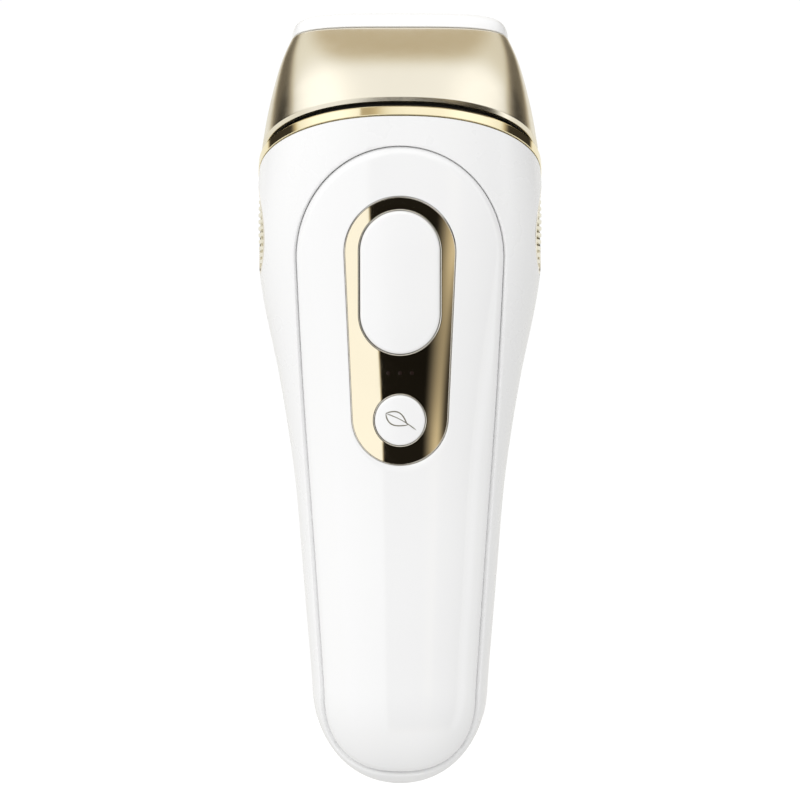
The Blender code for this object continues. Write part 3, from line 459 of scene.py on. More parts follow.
def finish_piece(piece, finish, body, slot, *nodes):
    piece.data.materials.clear()
    piece.data.materials.append(FINISHES[finish])
    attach(piece, body)
    if nodes:
        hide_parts(*nodes)
    return piece


def chosen():
    return bpy.context.scene.hair_remover


# Finishes ---------------------------------------------------------------------------------


class Nodes:
    """Short names for building one material's node tree."""

    def __init__(self, name):
        self.material = bpy.data.materials.new(name)
        self.material.use_nodes = True
        self.tree = self.material.node_tree
        self.shader = self.tree.nodes["Principled BSDF"]
        self.place = self.add("ShaderNodeTexCoord").outputs["Object"]

    def add(self, kind, **settings):
        node = self.tree.nodes.new(kind)
        for key, value in settings.items():
            if key in node.inputs:
                node.inputs[key].default_value = value
            else:
                setattr(node, key, value)
        return node

    def link(self, source, target):
        self.tree.links.new(source, target)

    def noise(self, scale, detail=3.0, stretch=(1, 1, 1)):
        mapping = self.add("ShaderNodeMapping", Scale=stretch)
        self.link(self.place, mapping.inputs["Vector"])
        noise = self.add("ShaderNodeTexNoise", Scale=scale, Detail=detail)
        self.link(mapping.outputs["Vector"], noise.inputs["Vector"])
        return noise.outputs["Fac"]

    def spread(self, factor, low, high):
        """The factor's middle half spread over a range, for a roughness or a height."""
        node = self.add("ShaderNodeMapRange")
        self.link(factor, node.inputs["Value"])
        for key, value in zip(("From Min", "From Max", "To Min", "To Max"), (0.3, 0.7, low, high)):
            node.inputs[key].default_value = value
        return node.outputs["Result"]

    def tint(self, factor, first, second):
        mix = self.add("ShaderNodeMix", data_type="RGBA")
        mix.inputs[6].default_value = (*first, 1)
        mix.inputs[7].default_value = (*second, 1)
        self.link(factor, mix.inputs["Factor"])
        self.link(mix.outputs[2], self.shader.inputs["Base Color"])

    def bump(self, factor, strength, distance):
        bump = self.add("ShaderNodeBump", Strength=strength, Distance=distance)
        self.link(factor, bump.inputs["Height"])
        self.link(bump.outputs["Normal"], self.shader.inputs["Normal"])

    def fixed(self, **values):
        for key, value in values.items():
            self.shader.inputs[key.replace("_", " ")].default_value = value


def moulded(name, colour, rough, texture=0.0, grain=2600.0, spread=0.04, **fixed):
    """Moulded plastic: faint flow tone, uneven gloss and, if any, a fine grain."""
    made = Nodes(name)
    darker = tuple(c * 0.985 for c in colour)
    made.tint(made.noise(55.0, 2.0), darker, colour)
    made.link(made.spread(made.noise(140.0, 3.0), rough, rough + spread), made.shader.inputs["Roughness"])
    if texture:
        made.bump(made.noise(grain, 2.0), texture, 0.00004)
    made.fixed(**fixed)
    return name, made.material


def metal(name, colour, rough, spread=0.05, brush=0.0, stretch=(1, 1, 1), **fixed):
    """Plated or metallised surface: faint tone drift, uneven polish and, if any, a fine satin grain."""
    made = Nodes(name)
    darker = tuple(c * 0.94 for c in colour)
    made.tint(made.noise(70.0, 2.0), darker, colour)
    made.link(made.spread(made.noise(420.0, 3.0), rough, rough + spread), made.shader.inputs["Roughness"])
    if brush:
        made.bump(made.noise(3000.0, 2.0, stretch), brush, 0.00003)
    made.fixed(Metallic=1.0, **fixed)
    return name, made.material


def clear(name, colour, rough, ior, alpha=1.0):
    made = Nodes(name)
    made.tint(made.noise(60.0, 2.0), tuple(c * 0.97 for c in colour), colour)
    made.link(made.spread(made.noise(300.0, 2.0), rough, rough + 0.02), made.shader.inputs["Roughness"])
    made.fixed(Transmission_Weight=1.0, IOR=ior, Alpha=alpha)
    return name, made.material


def board():
    """Solder mask with copper tracks under it."""
    made = Nodes("board_mask")
    brick = made.add("ShaderNodeTexBrick", Scale=240.0, offset=0.5, squash=1.0)
    made.link(made.place, brick.inputs["Vector"])
    brick.inputs["Color1"].default_value = (0.02, 0.16, 0.07, 1)
    brick.inputs["Color2"].default_value = (0.03, 0.22, 0.10, 1)
    brick.inputs["Mortar"].default_value = (0.06, 0.32, 0.14, 1)
    made.link(brick.outputs["Color"], made.shader.inputs["Base Color"])
    made.link(made.spread(made.noise(500.0), 0.3, 0.42), made.shader.inputs["Roughness"])
    return "circuit_board", made.material


def make_finishes():
    pick = chosen()
    gold, mirror = tuple(pick.head_colour), tuple(pick.plate_colour)
    return dict((
        moulded("white_shell", tuple(pick.shell_colour), 0.26, texture=0.05),
        moulded(
            "white_panel", tuple(pick.panel_colour), 0.05, spread=0.02, Coat_Weight=0.08, Coat_Roughness=0.03
        ),
        moulded("white_button", tuple(pick.button_colour), 0.16, spread=0.03),
        moulded("window_white", (0.91, 0.91, 0.91), 0.22, texture=0.03),
        metal("champagne_satin", gold, 0.21, spread=0.04, brush=0.08, stretch=(1, 1, 6)),
        metal("mirror_gold", mirror, 0.025, spread=0.02),
        metal("bright_gold", tuple(pick.collar_colour), 0.06, spread=0.03),
        metal("rim_silver", (0.86, 0.82, 0.74), 0.12),
        metal("vent_gold", (0.90, 0.86, 0.72), 0.22, brush=0.1),
        metal("leaf_print", (0.42, 0.40, 0.33), 0.3),
        moulded("black_plastic", (0.018, 0.017, 0.016), 0.38, texture=0.25),
        moulded("black_rubber", (0.014, 0.014, 0.014), 0.6, texture=0.3),
        metal("steel", (0.60, 0.60, 0.60), 0.24, brush=0.1),
        metal("sink_aluminium", (0.70, 0.70, 0.72), 0.34, brush=0.2, stretch=(1, 8, 1)),
        metal("reflector_silver", (0.92, 0.92, 0.92), 0.05),
        moulded("ferrite", (0.09, 0.09, 0.10), 0.5, texture=0.4),
        metal("copper_wire", (0.78, 0.36, 0.18), 0.25, brush=0.5, stretch=(0.2, 0.2, 6)),
        moulded("capacitor_sleeve", (0.02, 0.03, 0.09), 0.25, texture=0.1),
        moulded("red_silicone", (0.42, 0.025, 0.02), 0.4, texture=0.2),
        board(),
        clear("treatment_glass", (0.93, 0.96, 0.98), 0.01, 1.6),
        clear("quartz", (0.96, 0.96, 0.98), 0.02, 1.46),
        clear("orange_filter", (0.95, 0.50, 0.16), 0.02, 1.5),
        moulded("light_pipe", (0.02, 0.012, 0.01), 0.05, spread=0.02, Specular_IOR_Level=0.2),
    ))


FINISHES = {}


def disc_outline(height, radius, count=160):
    angle = np.linspace(0, 2 * math.pi, count, endpoint=False) - 0.5 * math.pi
    return np.stack((radius * np.cos(angle), height + radius * np.sin(angle)), 1)


def trigger_outline(count=240):
    return pill_outline(*((height, TRIGGER_SIZE[0] / 2) for height in TRIGGER_ENDS), count)


def vent_outline(margin, count=160):
    angle = np.linspace(0, 2 * math.pi, count, endpoint=False)
    half = np.array(VENT_HALF) + margin
    return np.array(VENT_CENTRE) + np.stack((half[0] * np.cos(angle), half[1] * np.sin(angle)), 1)


def middle_line(outline, ends):
    """The outline's points drawn in to an upright line between two heights."""
    return np.stack((np.zeros(len(outline)), np.clip(outline[:, 1], *ends)), 1)


def front_loops(outline, profile, unit=1.0):
    """Rings round an outline on the front skin: each profile row is (margin, depth)."""
    return [on_front(grown(outline, margin * unit), depth * unit) for margin, depth in profile]


def mouth(depth, lip):
    """A softly flared opening's profile, from above the front skin down to a depth."""
    return (
        (lip * 2, -MOUTH_RISE), (lip * 1.2, -0.25 * MM), (lip, -0.02 * MM), (lip * 0.3, 0.1 * MM),
        (0, 0.35 * MM), (0, depth),
    )


# Pieces -----------------------------------------------------------------------------------


def shell_rings(wall, first, last, columns=96):
    """C-shaped rings of half a handle, from foot to collar, between two angles."""
    turns = np.linspace(first + SEAM_TURN, last - SEAM_TURN, columns)
    inner_turns = np.linspace(last, first, columns)
    feet = FOOT_ROUNDING * (1 - np.cos(np.linspace(0.02, 0.5 * math.pi, 26)))
    heights = np.concatenate((feet, np.linspace(FOOT_ROUNDING, COLLAR_HEIGHT, 120)[1:]))
    rings = []
    for height in heights:
        outer = handle_point(np.full(columns, height), turns)
        inner_height = max(height, wall + 0.02 * MM)
        inner = handle_point(np.full(columns, inner_height), inner_turns, wall)
        rings.append(np.vstack((outer, inner)))
    return rings


def half_shell(name, first, last):
    return capped(name, shell_rings(SHELL_WALL, first, last))


def front_hole(name, outline, depth, lip=0.25 * MM):
    """A cutter for a small hole, with a softly flared mouth and flat ends."""
    return capped(name, front_loops(outline, mouth(depth, lip)))


def carve_button_holes(piece, *sizes):
    """Cuts the holes of both buttons: the sizes are a depth and, where it differs, a lip."""
    carve(piece, front_hole("cut_trigger", grown(trigger_outline(), GAP), *sizes))
    carve(piece, front_hole("cut_mode", disc_outline(MODE_HEIGHT, MODE_RADIUS + GAP), *sizes))


def vent_loops(profile, side):
    """Rings round the vent's outline: each profile row is (margin, distance out) in millimetres."""
    return [side_loop(*vent_outline(margin * MM).T, side, out * MM) for margin, out in profile]


def vent_hole(side):
    return capped("cut_vent", vent_loops(VENT_HOLE_PROFILE, side))


def capped(name, rings):
    """A closed solid: the rings' first and last loops are filled."""
    piece = skin(name, rings, closed=False)
    bpy.ops.object.mode_set(mode="EDIT")
    bpy.ops.mesh.select_all(action="SELECT")
    bpy.ops.mesh.fill_holes(sides=0)
    bpy.ops.mesh.normals_make_consistent(inside=False)
    bpy.ops.object.mode_set(mode="OBJECT")
    return piece


def front_pocket(name, outline, depth, lip=0.25 * MM):
    """A cutter with a softly flared mouth, which sinks to a depth under the front skin."""
    walls = front_loops(outline, mouth(depth, lip))
    middle = middle_line(outline, POCKET_SPINE)
    roof = [on_front(flat, -MOUTH_RISE) for flat in [middle, *between(middle, grown(outline, lip * 2), 14)]]
    floor = [on_front(flat, depth) for flat in [*between(outline, middle, 14), middle]]
    return skin(name, roof + walls + floor, closed=False)


def build_front_shell():
    shell = half_shell("front_shell_skin", math.pi, 2 * math.pi)
    carve(shell, front_pocket("cut_panel", grown(panel_outline(), chosen().panel_gap), PANEL_POCKET_DEPTH))
    carve_button_holes(shell, SHELL_HOLE_DEPTH)
    for side in (-1, 1):
        carve(shell, vent_hole(side))
    finish_piece(smooth_shade(shell, 38), "white_shell", "root", "white_shell", "front_shell")


def build_rear_shell():
    shell = half_shell("rear_shell_skin", 0.0, math.pi)
    for side in (-1, 1):
        carve(shell, vent_hole(side))
    for place in SCREW_PLACES:
        carve(shell, rod("cut_seat", SEAT_RADIUS, (*place, SEAT_DEPTH), THROUGH_BACK))
    carve(shell, rod("cut_inlet", INLET_RADIUS + GAP, (0, INLET_HEIGHT, SEAT_DEPTH), THROUGH_BACK))
    finish_piece(smooth_shade(shell, 38), "white_shell", "root", "white_shell", "rear_shell")


def between(first, second, steps):
    """Flat outlines that pass evenly from one outline to another, without the ends."""
    return [first + (second - first) * k / steps for k in range(1, steps)]


def build_front_panel():
    edge = chosen().panel_edge
    outer = panel_outline()
    ends = [(height, radius + PLATE_GAP) for height, radius in (PLATE_LOW, PLATE_HIGH)]
    inner = pill_outline(*ends, len(outer))
    profile = [(0, PANEL_THICKNESS)]
    for t in np.linspace(0, 0.5 * math.pi, 11):
        reach = 1 - max(math.cos(t), 0) ** (2 / PANEL_EDGE_POWER)
        fall = 1 - math.sin(t) ** (2 / PANEL_EDGE_POWER)
        profile.append((-edge * reach, PANEL_EDGE_FALL * fall))
    rings = front_loops(outer, profile)
    hole_margin = PANEL_HOLE_PROFILE[0][0] * MM
    rings += [on_front(ring) for ring in between(grown(outer, -edge), grown(inner, hole_margin), 44)]
    rings += front_loops(inner, PANEL_HOLE_PROFILE, MM)
    rings += [on_front(ring, PANEL_THICKNESS) for ring in between(inner, outer, 30)]
    panel = skin("front_panel_skin", rings)
    finish_piece(smooth_shade(panel, 40), "white_panel", "root", "white_panel", "front_panel")


def patch(name, outline, spine_ends, steps, depth=0.0):
    """An open sheet on the front skin, from an outline in to a line up its middle."""
    spine = middle_line(outline, spine_ends)
    flats = [outline] + between(outline, spine, steps) + [spine]
    return skin(name, [on_front(flat, depth) for flat in flats], closed=False)


def build_control_plate():
    outline = pill_outline(PLATE_LOW, PLATE_HIGH)
    plate = patch("control_plate_skin", outline, (PLATE_LOW[0], PLATE_HIGH[0]), 26, -PLATE_RISE)
    apply_modifier(plate, "SOLIDIFY", thickness=PLATE_THICKNESS, offset=-1.0)
    carve_button_holes(plate, PLATE_HOLE_DEPTH, PLATE_HOLE_LIP)
    finish_piece(smooth_shade(plate, 30), "mirror_gold", "root", "mirror_gold", "control_plate")

    ring = skin("plate_rim", front_loops(outline, PLATE_RIM_PROFILE, MM))
    finish_piece(smooth_shade(ring), "rim_silver", "root", "mirror_gold")

    for i in range(3):
        shift = ((i - 1) * STATUS_PITCH, 0)
        rings = [
            on_front(disc_outline(STATUS_HEIGHT, radius * MM, 24) + shift, depth * MM)
            for radius, depth in STATUS_PROFILE
        ]
        light = skin(f"status_dot_{i + 1}", rings)
        finish_piece(smooth_shade(light), "light_pipe", "root", "light_pipe", f"status_light_{i + 1}")


def button_rings(outline, spine_ends, edge, proud, crown, steps=22):
    """Rings of a crowned cap: up its side, over a rounded edge and in to its middle line."""
    rings = [on_front(outline, BUTTON_DEPTH), on_front(outline, BUTTON_DEPTH * 0.5)]
    for t in np.linspace(0, 0.5 * math.pi, 9):
        rings.append(on_front(grown(outline, -edge * (1 - math.cos(t))), edge * (1 - math.sin(t)) - proud))
    flat = grown(outline, -edge)
    spine = middle_line(flat, spine_ends)
    for k, ring in enumerate(between(flat, spine, steps) + [spine]):
        t = (k + 1) / steps
        rings.append(on_front(ring, -proud - crown * (1 - (1 - t) ** 2)))
    return rings


def build_trigger():
    proud = chosen().button_proud
    outline = grown(trigger_outline(), -BUTTON_MARGIN)
    rings = button_rings(outline, TRIGGER_ENDS, TRIGGER_EDGE, proud - TRIGGER_CROWN, TRIGGER_CROWN)
    cap = capped("trigger_cap", rings)
    finish_piece(smooth_shade(cap, 50), "white_button", "trigger", "white_button", "trigger_button")
    build_bezel("trigger_bezel", trigger_outline())


def build_bezel(name, outline):
    """The thin bright edge round a button's hole."""
    ring = skin(name, front_loops(outline, BEZEL_PROFILE, MM))
    finish_piece(smooth_shade(ring), "rim_silver", "root", "mirror_gold")


def build_mode_button():
    outline = disc_outline(MODE_HEIGHT, MODE_RADIUS - BUTTON_MARGIN)
    rings = button_rings(outline, (MODE_HEIGHT, MODE_HEIGHT), MODE_EDGE, MODE_PROUD, MODE_CROWN, 12)
    cap = capped("mode_cap", rings)
    finish_piece(smooth_shade(cap, 50), "white_button", "mode", "white_button", "mode_button")
    build_bezel("mode_bezel", disc_outline(MODE_HEIGHT, MODE_RADIUS))
    build_leaf_icon()


def ribbon(name, flat, width, depth):
    """A thin raised line on the front skin along flat points."""
    flat = np.array(flat)
    edge = np.gradient(flat, axis=0)
    out = np.stack((edge[:, 1], -edge[:, 0]), 1) / np.linalg.norm(edge, axis=1)[:, None]
    taper = np.clip(np.minimum(np.arange(len(flat)), np.arange(len(flat))[::-1]) / 4 + 0.35, 0, 1)[:, None]
    rings = []
    for side, rise in ((1, 0.02), (0.7, -0.03), (-0.7, -0.03), (-1, 0.02)):
        rings.append(on_front(flat + out * width * 0.5 * side * taper, depth + rise * MM))
    strips = np.stack(rings, 1)
    return capped(name, list(strips))


def build_leaf_icon():
    """A plain leaf: two bowed sides, a middle vein and a stalk."""
    t = np.linspace(0, 1, 26)
    length, belly, bow = LEAF_LENGTH, LEAF_BELLY, np.sin(math.pi * t)
    lines = (
        ((t - 0.5) * 2 * length, belly * np.sin(math.pi * t ** 0.9), LEAF_LINE),
        ((t - 0.5) * 2 * length, -belly * np.sin(math.pi * t ** 0.8), LEAF_LINE),
        (((t - 0.5) * 2.7 + 0.42) * length, 0.22 * belly * bow, LEAF_VEIN),
    )
    c, s = math.cos(LEAF_TURN), math.sin(LEAF_TURN)
    for k, (along, out, width) in enumerate(lines):
        turned = np.stack((along, out), 1) @ np.array(((c, s), (-s, c))) + LEAF_MIDDLE
        piece = ribbon(f"leaf_line_{k + 1}", turned, width, LEAF_DEPTH)
        finish_piece(piece, "leaf_print", "mode", "mirror_gold")


def build_vents():
    for name, side in (("left_vent_grille", -1), ("right_vent_grille", 1)):
        frame_ring = skin(name + "_rim", vent_loops(VENT_RIM_PROFILE, side))
        finish_piece(smooth_shade(frame_ring), "rim_silver", "root", "champagne_satin", name)
        bars = chosen().vent_bars
        for i in range(bars):
            offset = (i - (bars - 1) / 2) * VENT_SPREAD * VENT_HALF[1] / bars
            reach = math.sqrt(1 - (offset / VENT_HALF[1]) ** 2) * VENT_HALF[0] - VENT_BAR_END
            y = VENT_CENTRE[0] + np.linspace(-reach, reach, 24)
            rings = []
            for rise, out in VENT_BAR_PROFILE:
                height = np.full_like(y, VENT_CENTRE[1] + offset + rise * MM)
                rings.append(side_loop(y, height, side, out * MM))
            bar = capped(f"{name}_bar_{i + 1}", list(np.stack(rings, 1)))
            finish_piece(smooth_shade(bar, 40), "vent_gold", "root", "champagne_satin")


def head_loops(rows):
    return [on_head(head_oval(distance * MM, inset * MM), distance * MM) for distance, inset in rows]


def neck_loops(rows):
    return [on_head(neck_oval(inset * MM), distance * MM) for distance, inset in rows]


def build_collar():
    ring = skin("collar_trim", neck_loops(TRIM_PROFILE))
    finish_piece(smooth_shade(ring, 24), "bright_gold", "root", "bright_gold", "collar_ring")
    seal = skin("neck_gasket", neck_loops(SEAL_PROFILE))
    finish_piece(smooth_shade(seal, 50), "black_rubber", "root", "black_rubber", "neck_seal")
    loops = neck_loops(NECK_PROFILE)
    deck = slot_outline(NECK_OPENING, OPENING_CORNER)
    loops += [on_head(deck, distance) for distance in NECK_DECK]
    neck = skin("neck_sleeve", loops)
    finish_piece(smooth_shade(neck, 40), "black_plastic", "root", "black_plastic", "neck_ring")


def build_head():
    bottom, top = HEAD_STATIONS[0, 0] / MM, HEAD_STATIONS[-1, 0] / MM
    rows = [(bottom + rise, inset) for rise, inset in HEAD_CHAMFER]
    rows += [(d, 0.0) for d in np.linspace(bottom + 0.9, top - HEAD_RIM_STEP, 60)]
    rows += [(top - 0.08, 0.08), (top, HEAD_RIM_STEP), (top, HEAD_WALL)]
    rows += [(d, HEAD_WALL) for d in np.linspace(top - 1, bottom + 0.3, 20)]
    shell = skin("head_casing", head_loops(rows))
    finish_piece(smooth_shade(shell, 24), "champagne_satin", "head", "champagne_satin", "head_shell")

    loops = head_loops(LIP_FOOT_PROFILE) + neck_loops(LIP_NECK_PROFILE)
    opening = slot_outline(LIP_OPENING, OPENING_CORNER)
    loops += [on_head(opening, distance) for distance in LIP_DECK]
    loops += head_loops(LIP_WALL_PROFILE)
    lip = skin("head_lip", loops)
    finish_piece(smooth_shade(lip, 40), "black_plastic", "head", "black_plastic", "head_inner_frame")


def build_window():
    fullness, seat = 2 / WINDOW_POWER, WINDOW_SEAT_PROFILE[-1][0]
    rows = list(WINDOW_SEAT_PROFILE)
    for t in np.linspace(0.08, 1, 16):
        rise, reach = math.sin(0.5 * math.pi * t), max(math.cos(0.5 * math.pi * t), 0)
        rows.append((seat + (WINDOW_TOP - seat) * rise ** fullness, 0.2 + 3.1 * (1 - reach ** fullness)))
    loops = head_loops(rows)
    for width, depth, corner, distance in WINDOW_HOLE_PROFILE:
        hole = slot_outline((width * MM, depth * MM), corner * MM)
        loops.append(on_head(hole, distance * MM))
    bezel = skin("window_bezel", loops)
    finish_piece(smooth_shade(bezel, 35), "window_white", "head", "window_white", "window_frame")


def build_screw_seat(name, x, height):
    """The rear shell's hollow boss, from the screw's seat out to the back skin."""
    flat = disc_outline(height, 1.0, 64) - (0, height)
    rings = []
    for radius, depth in BOSS_PROFILE:
        ring = flat * radius * MM + (x, height)
        place = handle_face(*ring.T, HANDLE_BACK, 1)
        if depth:
            place[:, 1] = depth * MM
            place[:, 2] = ring[:, 1] - GRIP_HEIGHT
        else:
            place[:, 1] -= BOSS_INSET
        rings.append(place)
    seat = skin(name, rings)
    finish_piece(smooth_shade(seat, 40), "white_shell", "root", "white_shell")


def build_fasteners():
    for i, (x, height) in enumerate(SCREW_PLACES):
        build_screw_seat(f"screw_seat_{i + 1}", x, height)
        low, high = SCREW_HEAD_DEPTHS
        head = rod(f"screw_{i + 1}", SCREW_HEAD_RADIUS, (x, height, low), high)
        apply_modifier(head, "BEVEL", width=SCREW_ROUNDING, segments=3, limit_method="ANGLE")
        carve(head, rod("cut_socket", SOCKET_RADIUS, (x, height, SOCKET_FLOOR), THROUGH_BACK, sides=6))
        finish_piece(smooth_shade(head), "steel", "root", "steel", f"shell_screw_{i + 1}")
    foot, floor = ((0, INLET_HEIGHT, INLET_RIM - depth) for depth in (INLET_LENGTH, INLET_FLOOR))
    barrel = rod("inlet_barrel", INLET_RADIUS, foot, INLET_RIM, sides=96)
    carve(barrel, rod("cut_bore", INLET_RADIUS - INLET_WALL, floor, THROUGH_BACK, sides=96))
    apply_modifier(barrel, "BEVEL", width=INLET_ROUNDING, segments=3, limit_method="ANGLE")
    finish_piece(smooth_shade(barrel), "black_plastic", "root", "black_plastic", "power_inlet")


def finish_inner_parts():
    """The parts inside keep their own shape and take their slot's finish."""
    for part in frame["record"]["subparts"]:
        node = frame["nodes"][part["node"]]
        if not node.hide_render:
            node.data.materials.clear()
            node.data.materials.append(FINISHES[part["material_slot"]])


# Studio -----------------------------------------------------------------------------------


WARM_STOPS = ((0.10, (0.10, 0.085, 0.065)), (0.58, (0.58, 0.49, 0.34)), (0.88, (0.88, 0.86, 0.78)))


class Sky:
    """Short names for the studio's surround, which is built from the direction looked in."""

    def __init__(self):
        world = bpy.data.worlds.new("studio_surround")
        bpy.context.scene.world = world
        world.use_nodes = True
        self.tree = world.node_tree
        self.background = self.tree.nodes["Background"]
        place = self.tree.nodes.new("ShaderNodeTexCoord")
        split = self.tree.nodes.new("ShaderNodeSeparateXYZ")
        self.tree.links.new(place.outputs["Generated"], split.inputs[0])
        self.x, self.y, self.z = split.outputs
        self.across = self.math("ARCTAN2", self.x, self.math("MULTIPLY", self.y, -1.0))

    def math(self, operation, *values):
        node = self.tree.nodes.new("ShaderNodeMath")
        node.operation = operation
        for value, entry in zip(values, node.inputs):
            if isinstance(value, (int, float)):
                entry.default_value = value
            else:
                self.tree.links.new(value, entry)
        return node.outputs[0]

    def ramp(self, value, low, high, first=0.0, last=1.0):
        """A smooth step of the value from one amount to another."""
        node = self.tree.nodes.new("ShaderNodeMapRange")
        node.interpolation_type = "SMOOTHSTEP"
        self.tree.links.new(value, node.inputs["Value"])
        for key, number in (("From Min", low), ("From Max", high), ("To Min", first), ("To Max", last)):
            node.inputs[key].default_value = number
        return node.outputs["Result"]

    def band(self, value, low, high, blur):
        """One between two amounts and none outside them, with blurred edges."""
        start = self.ramp(value, low - blur, low + blur)
        return self.both(start, self.ramp(value, high - blur, high + blur, 1.0, 0.0))

    def turned(self, value, low, high, blur):
        """The same for an angle given in degrees."""
        return self.band(value, math.radians(low), math.radians(high), math.radians(blur))

    def swung(self, value, low, high, first=0.0, last=1.0):
        """A smooth step over an angle given in degrees."""
        return self.ramp(value, math.radians(low), math.radians(high), first, last)

    def both(self, first, second):
        return self.math("MULTIPLY", first, second)

    def blend(self, first, second, share):
        """The first amount, giving way to the second as the share goes from none to all."""
        rest = self.math("SUBTRACT", 1.0, share)
        return self.math("ADD", self.both(first, rest), self.both(second, share))

    def show(self, glow, soft):
        """Gloss sees the glow, warm where dim; matt surfaces see the soft light, the camera plain white."""
        path = self.tree.nodes.new("ShaderNodeLightPath")
        seen, matt = path.outputs["Is Camera Ray"], path.outputs["Is Diffuse Ray"]
        plain = self.math("MAXIMUM", seen, matt)
        tone = self.tree.nodes.new("ShaderNodeValToRGB")
        stops = tone.color_ramp.elements
        stops[0].color, stops[1].color = (0, 0, 0, 1), (1, 1, 1, 1)
        for amount, colour in WARM_STOPS:
            stops.new(amount).color = (*colour, 1)
        self.tree.links.new(self.blend(glow, 1.0, plain), tone.inputs["Fac"])
        self.tree.links.new(tone.outputs["Color"], self.background.inputs["Color"])
        strength = self.blend(self.math("MAXIMUM", glow, 1.0), soft, matt)
        self.tree.links.new(self.blend(strength, 1.02, seen), self.background.inputs["Strength"])


def build_surround():
    """A white room, where flags draw the dark bands in the gloss and softboxes the bright ones."""
    sky = Sky()
    apart = sky.math("ABSOLUTE", sky.across)
    level = sky.band(sky.z, -0.60, 0.42, 0.05)
    ahead = sky.both(sky.turned(sky.across, -3.0, 44.0, 0.35), level)
    climb = sky.both(sky.swung(sky.across, 4.5, 11.5, 0.012, 0.62), sky.ramp(sky.z, -0.24, -0.195, 0.4, 1.0))
    rise = sky.both(climb, sky.swung(sky.across, 11.0, 16.0, 1.0, 0.12))
    wall = sky.both(sky.swung(apart, 66.0, 70.0), sky.swung(apart, 126.0, 135.0, 1.0, 0.0))
    sides = sky.both(wall, sky.band(sky.z, 0.06, 0.53, 0.04))
    behind = sky.both(sky.turned(apart, 100.0, 161.0, 6.0), sky.band(sky.z, 0.24, 0.60, 0.06))
    key = sky.both(sky.turned(sky.across, -40.0, -3.0, 0.6), level)
    strip = sky.both(sky.turned(sky.across, 50.0, 62.0, 2.0), level)
    brow = sky.both(sky.band(sky.z, 0.58, 0.80, 0.02), sky.turned(sky.across, -13.0, 0.0, 0.4))
    over = sky.ramp(sky.z, 0.45, 0.80)
    ceiling = sky.ramp(sky.y, 0.10, 0.48, 1.02, 0.55)
    wings = sky.both(sky.band(sky.math("ABSOLUTE", sky.x), 0.24, 0.72, 0.12), over)

    glow = sky.blend(0.92, ceiling, over)
    for light, strength in ((wings, sky.ramp(sky.x, -0.2, 0.2, 0.30, 0.20)), (key, 0.12), (strip, 0.50)):
        glow = sky.math("ADD", glow, sky.both(light, strength))
    glow = sky.blend(sky.blend(glow, 0.16, behind), 0.04, sides)
    glow = sky.blend(glow, sky.swung(sky.across, -8.0, 0.0, 0.48, 0.95), brow)
    glow = sky.blend(glow, rise, ahead)
    soft = sky.both(sky.ramp(sky.x, -0.3, 0.9, 1.22, 0.82), sky.ramp(sky.z, -1.0, 0.1, 0.72, 1.0))
    sky.show(glow, sky.both(soft, sky.ramp(sky.x, -1.0, -0.25, 0.62, 1.0)))


def build_floor():
    deselect()
    bpy.ops.mesh.primitive_plane_add(size=FLOOR_SIZE, location=(0, 0, CAD_BOX[0][2] - FLOOR_DROP))
    floor = settle(bpy.context.object)
    floor.name = floor.data.name = "studio_floor"
    made = Nodes("floor_paint")
    made.tint(made.noise(3.0), (0.96, 0.96, 0.96), (0.97, 0.97, 0.97))
    made.fixed(Roughness=0.9, Emission_Color=(1, 1, 1, 1), Emission_Strength=FLOOR_GLOW)
    floor.data.materials.append(made.material)
    floor.visible_glossy = floor.visible_diffuse = False


def build_lights():
    for name, place, size, power in LIGHTS:
        light = bpy.data.lights.new(name, "AREA")
        light.size, light.energy = size, power
        lamp = bpy.data.objects.new(name, light)
        bpy.context.scene.collection.objects.link(lamp)
        lamp.location = place
        lamp.rotation_euler = (LIGHT_AIM - lamp.location).to_track_quat("-Z", "Y").to_euler()
        lamp.visible_glossy = False
        lamp.visible_camera = False


def build_camera():
    camera = bpy.data.cameras.new("studio_camera")
    camera.lens, camera.sensor_width = CAMERA_LENS, SENSOR_WIDTH
    camera.clip_start, camera.clip_end = 0.05, 20.0
    eye = bpy.data.objects.new("studio_camera", camera)
    bpy.context.scene.collection.objects.link(eye)
    eye.location = (0, -CAMERA_DISTANCE, CAMERA_LEVEL)
    eye.rotation_euler = (0.5 * math.pi, 0, 0)
    bpy.context.scene.camera = eye
    bpy.context.scene.view_settings.view_transform = "Standard"


# Add-on -----------------------------------------------------------------------------------


def length_setting(name, description, default, least, most):
    """A length property, from millimetres."""
    return bpy.props.FloatProperty(
        name=name, description=description, default=default * MM, min=least * MM, max=most * MM,
        subtype="DISTANCE", unit="LENGTH",
    )


def colour_setting(name, description, default):
    return bpy.props.FloatVectorProperty(
        name=name, description=description, default=default, min=0.0, max=1.0, size=3, subtype="COLOR"
    )


class HairRemoverSettings(bpy.types.PropertyGroup):
    """The sizes and colours that a user would change"""

    panel_gap: length_setting("Panel gap", "Width of the line round the front panel", 0.15, 0.05, 1.0)
    panel_edge: length_setting("Panel edge", "How far the panel's edge rounds in", 1.7, 0.5, 3.0)
    button_proud: length_setting("Button height", "How far the trigger stands proud", 0.75, 0.1, 2.0)
    vent_bars: bpy.props.IntProperty(
        name="Vent bars", description="Bars across each side vent", default=13, min=3, max=15
    )
    shell_colour: colour_setting("Shell colour", "Satin plastic of the handle", (0.90, 0.90, 0.90))
    panel_colour: colour_setting("Panel colour", "Gloss plastic of the front panel", (0.91, 0.91, 0.91))
    button_colour: colour_setting("Button colour", "Plastic of the two buttons", (0.91, 0.91, 0.91))
    head_colour: colour_setting("Head colour", "Satin metal of the head", (0.88, 0.825, 0.69))
    plate_colour: colour_setting("Plate colour", "Mirror metal behind the buttons", (0.99, 0.90, 0.69))
    collar_colour: colour_setting("Collar colour", "Bright metal round the collar", (0.99, 0.89, 0.62))


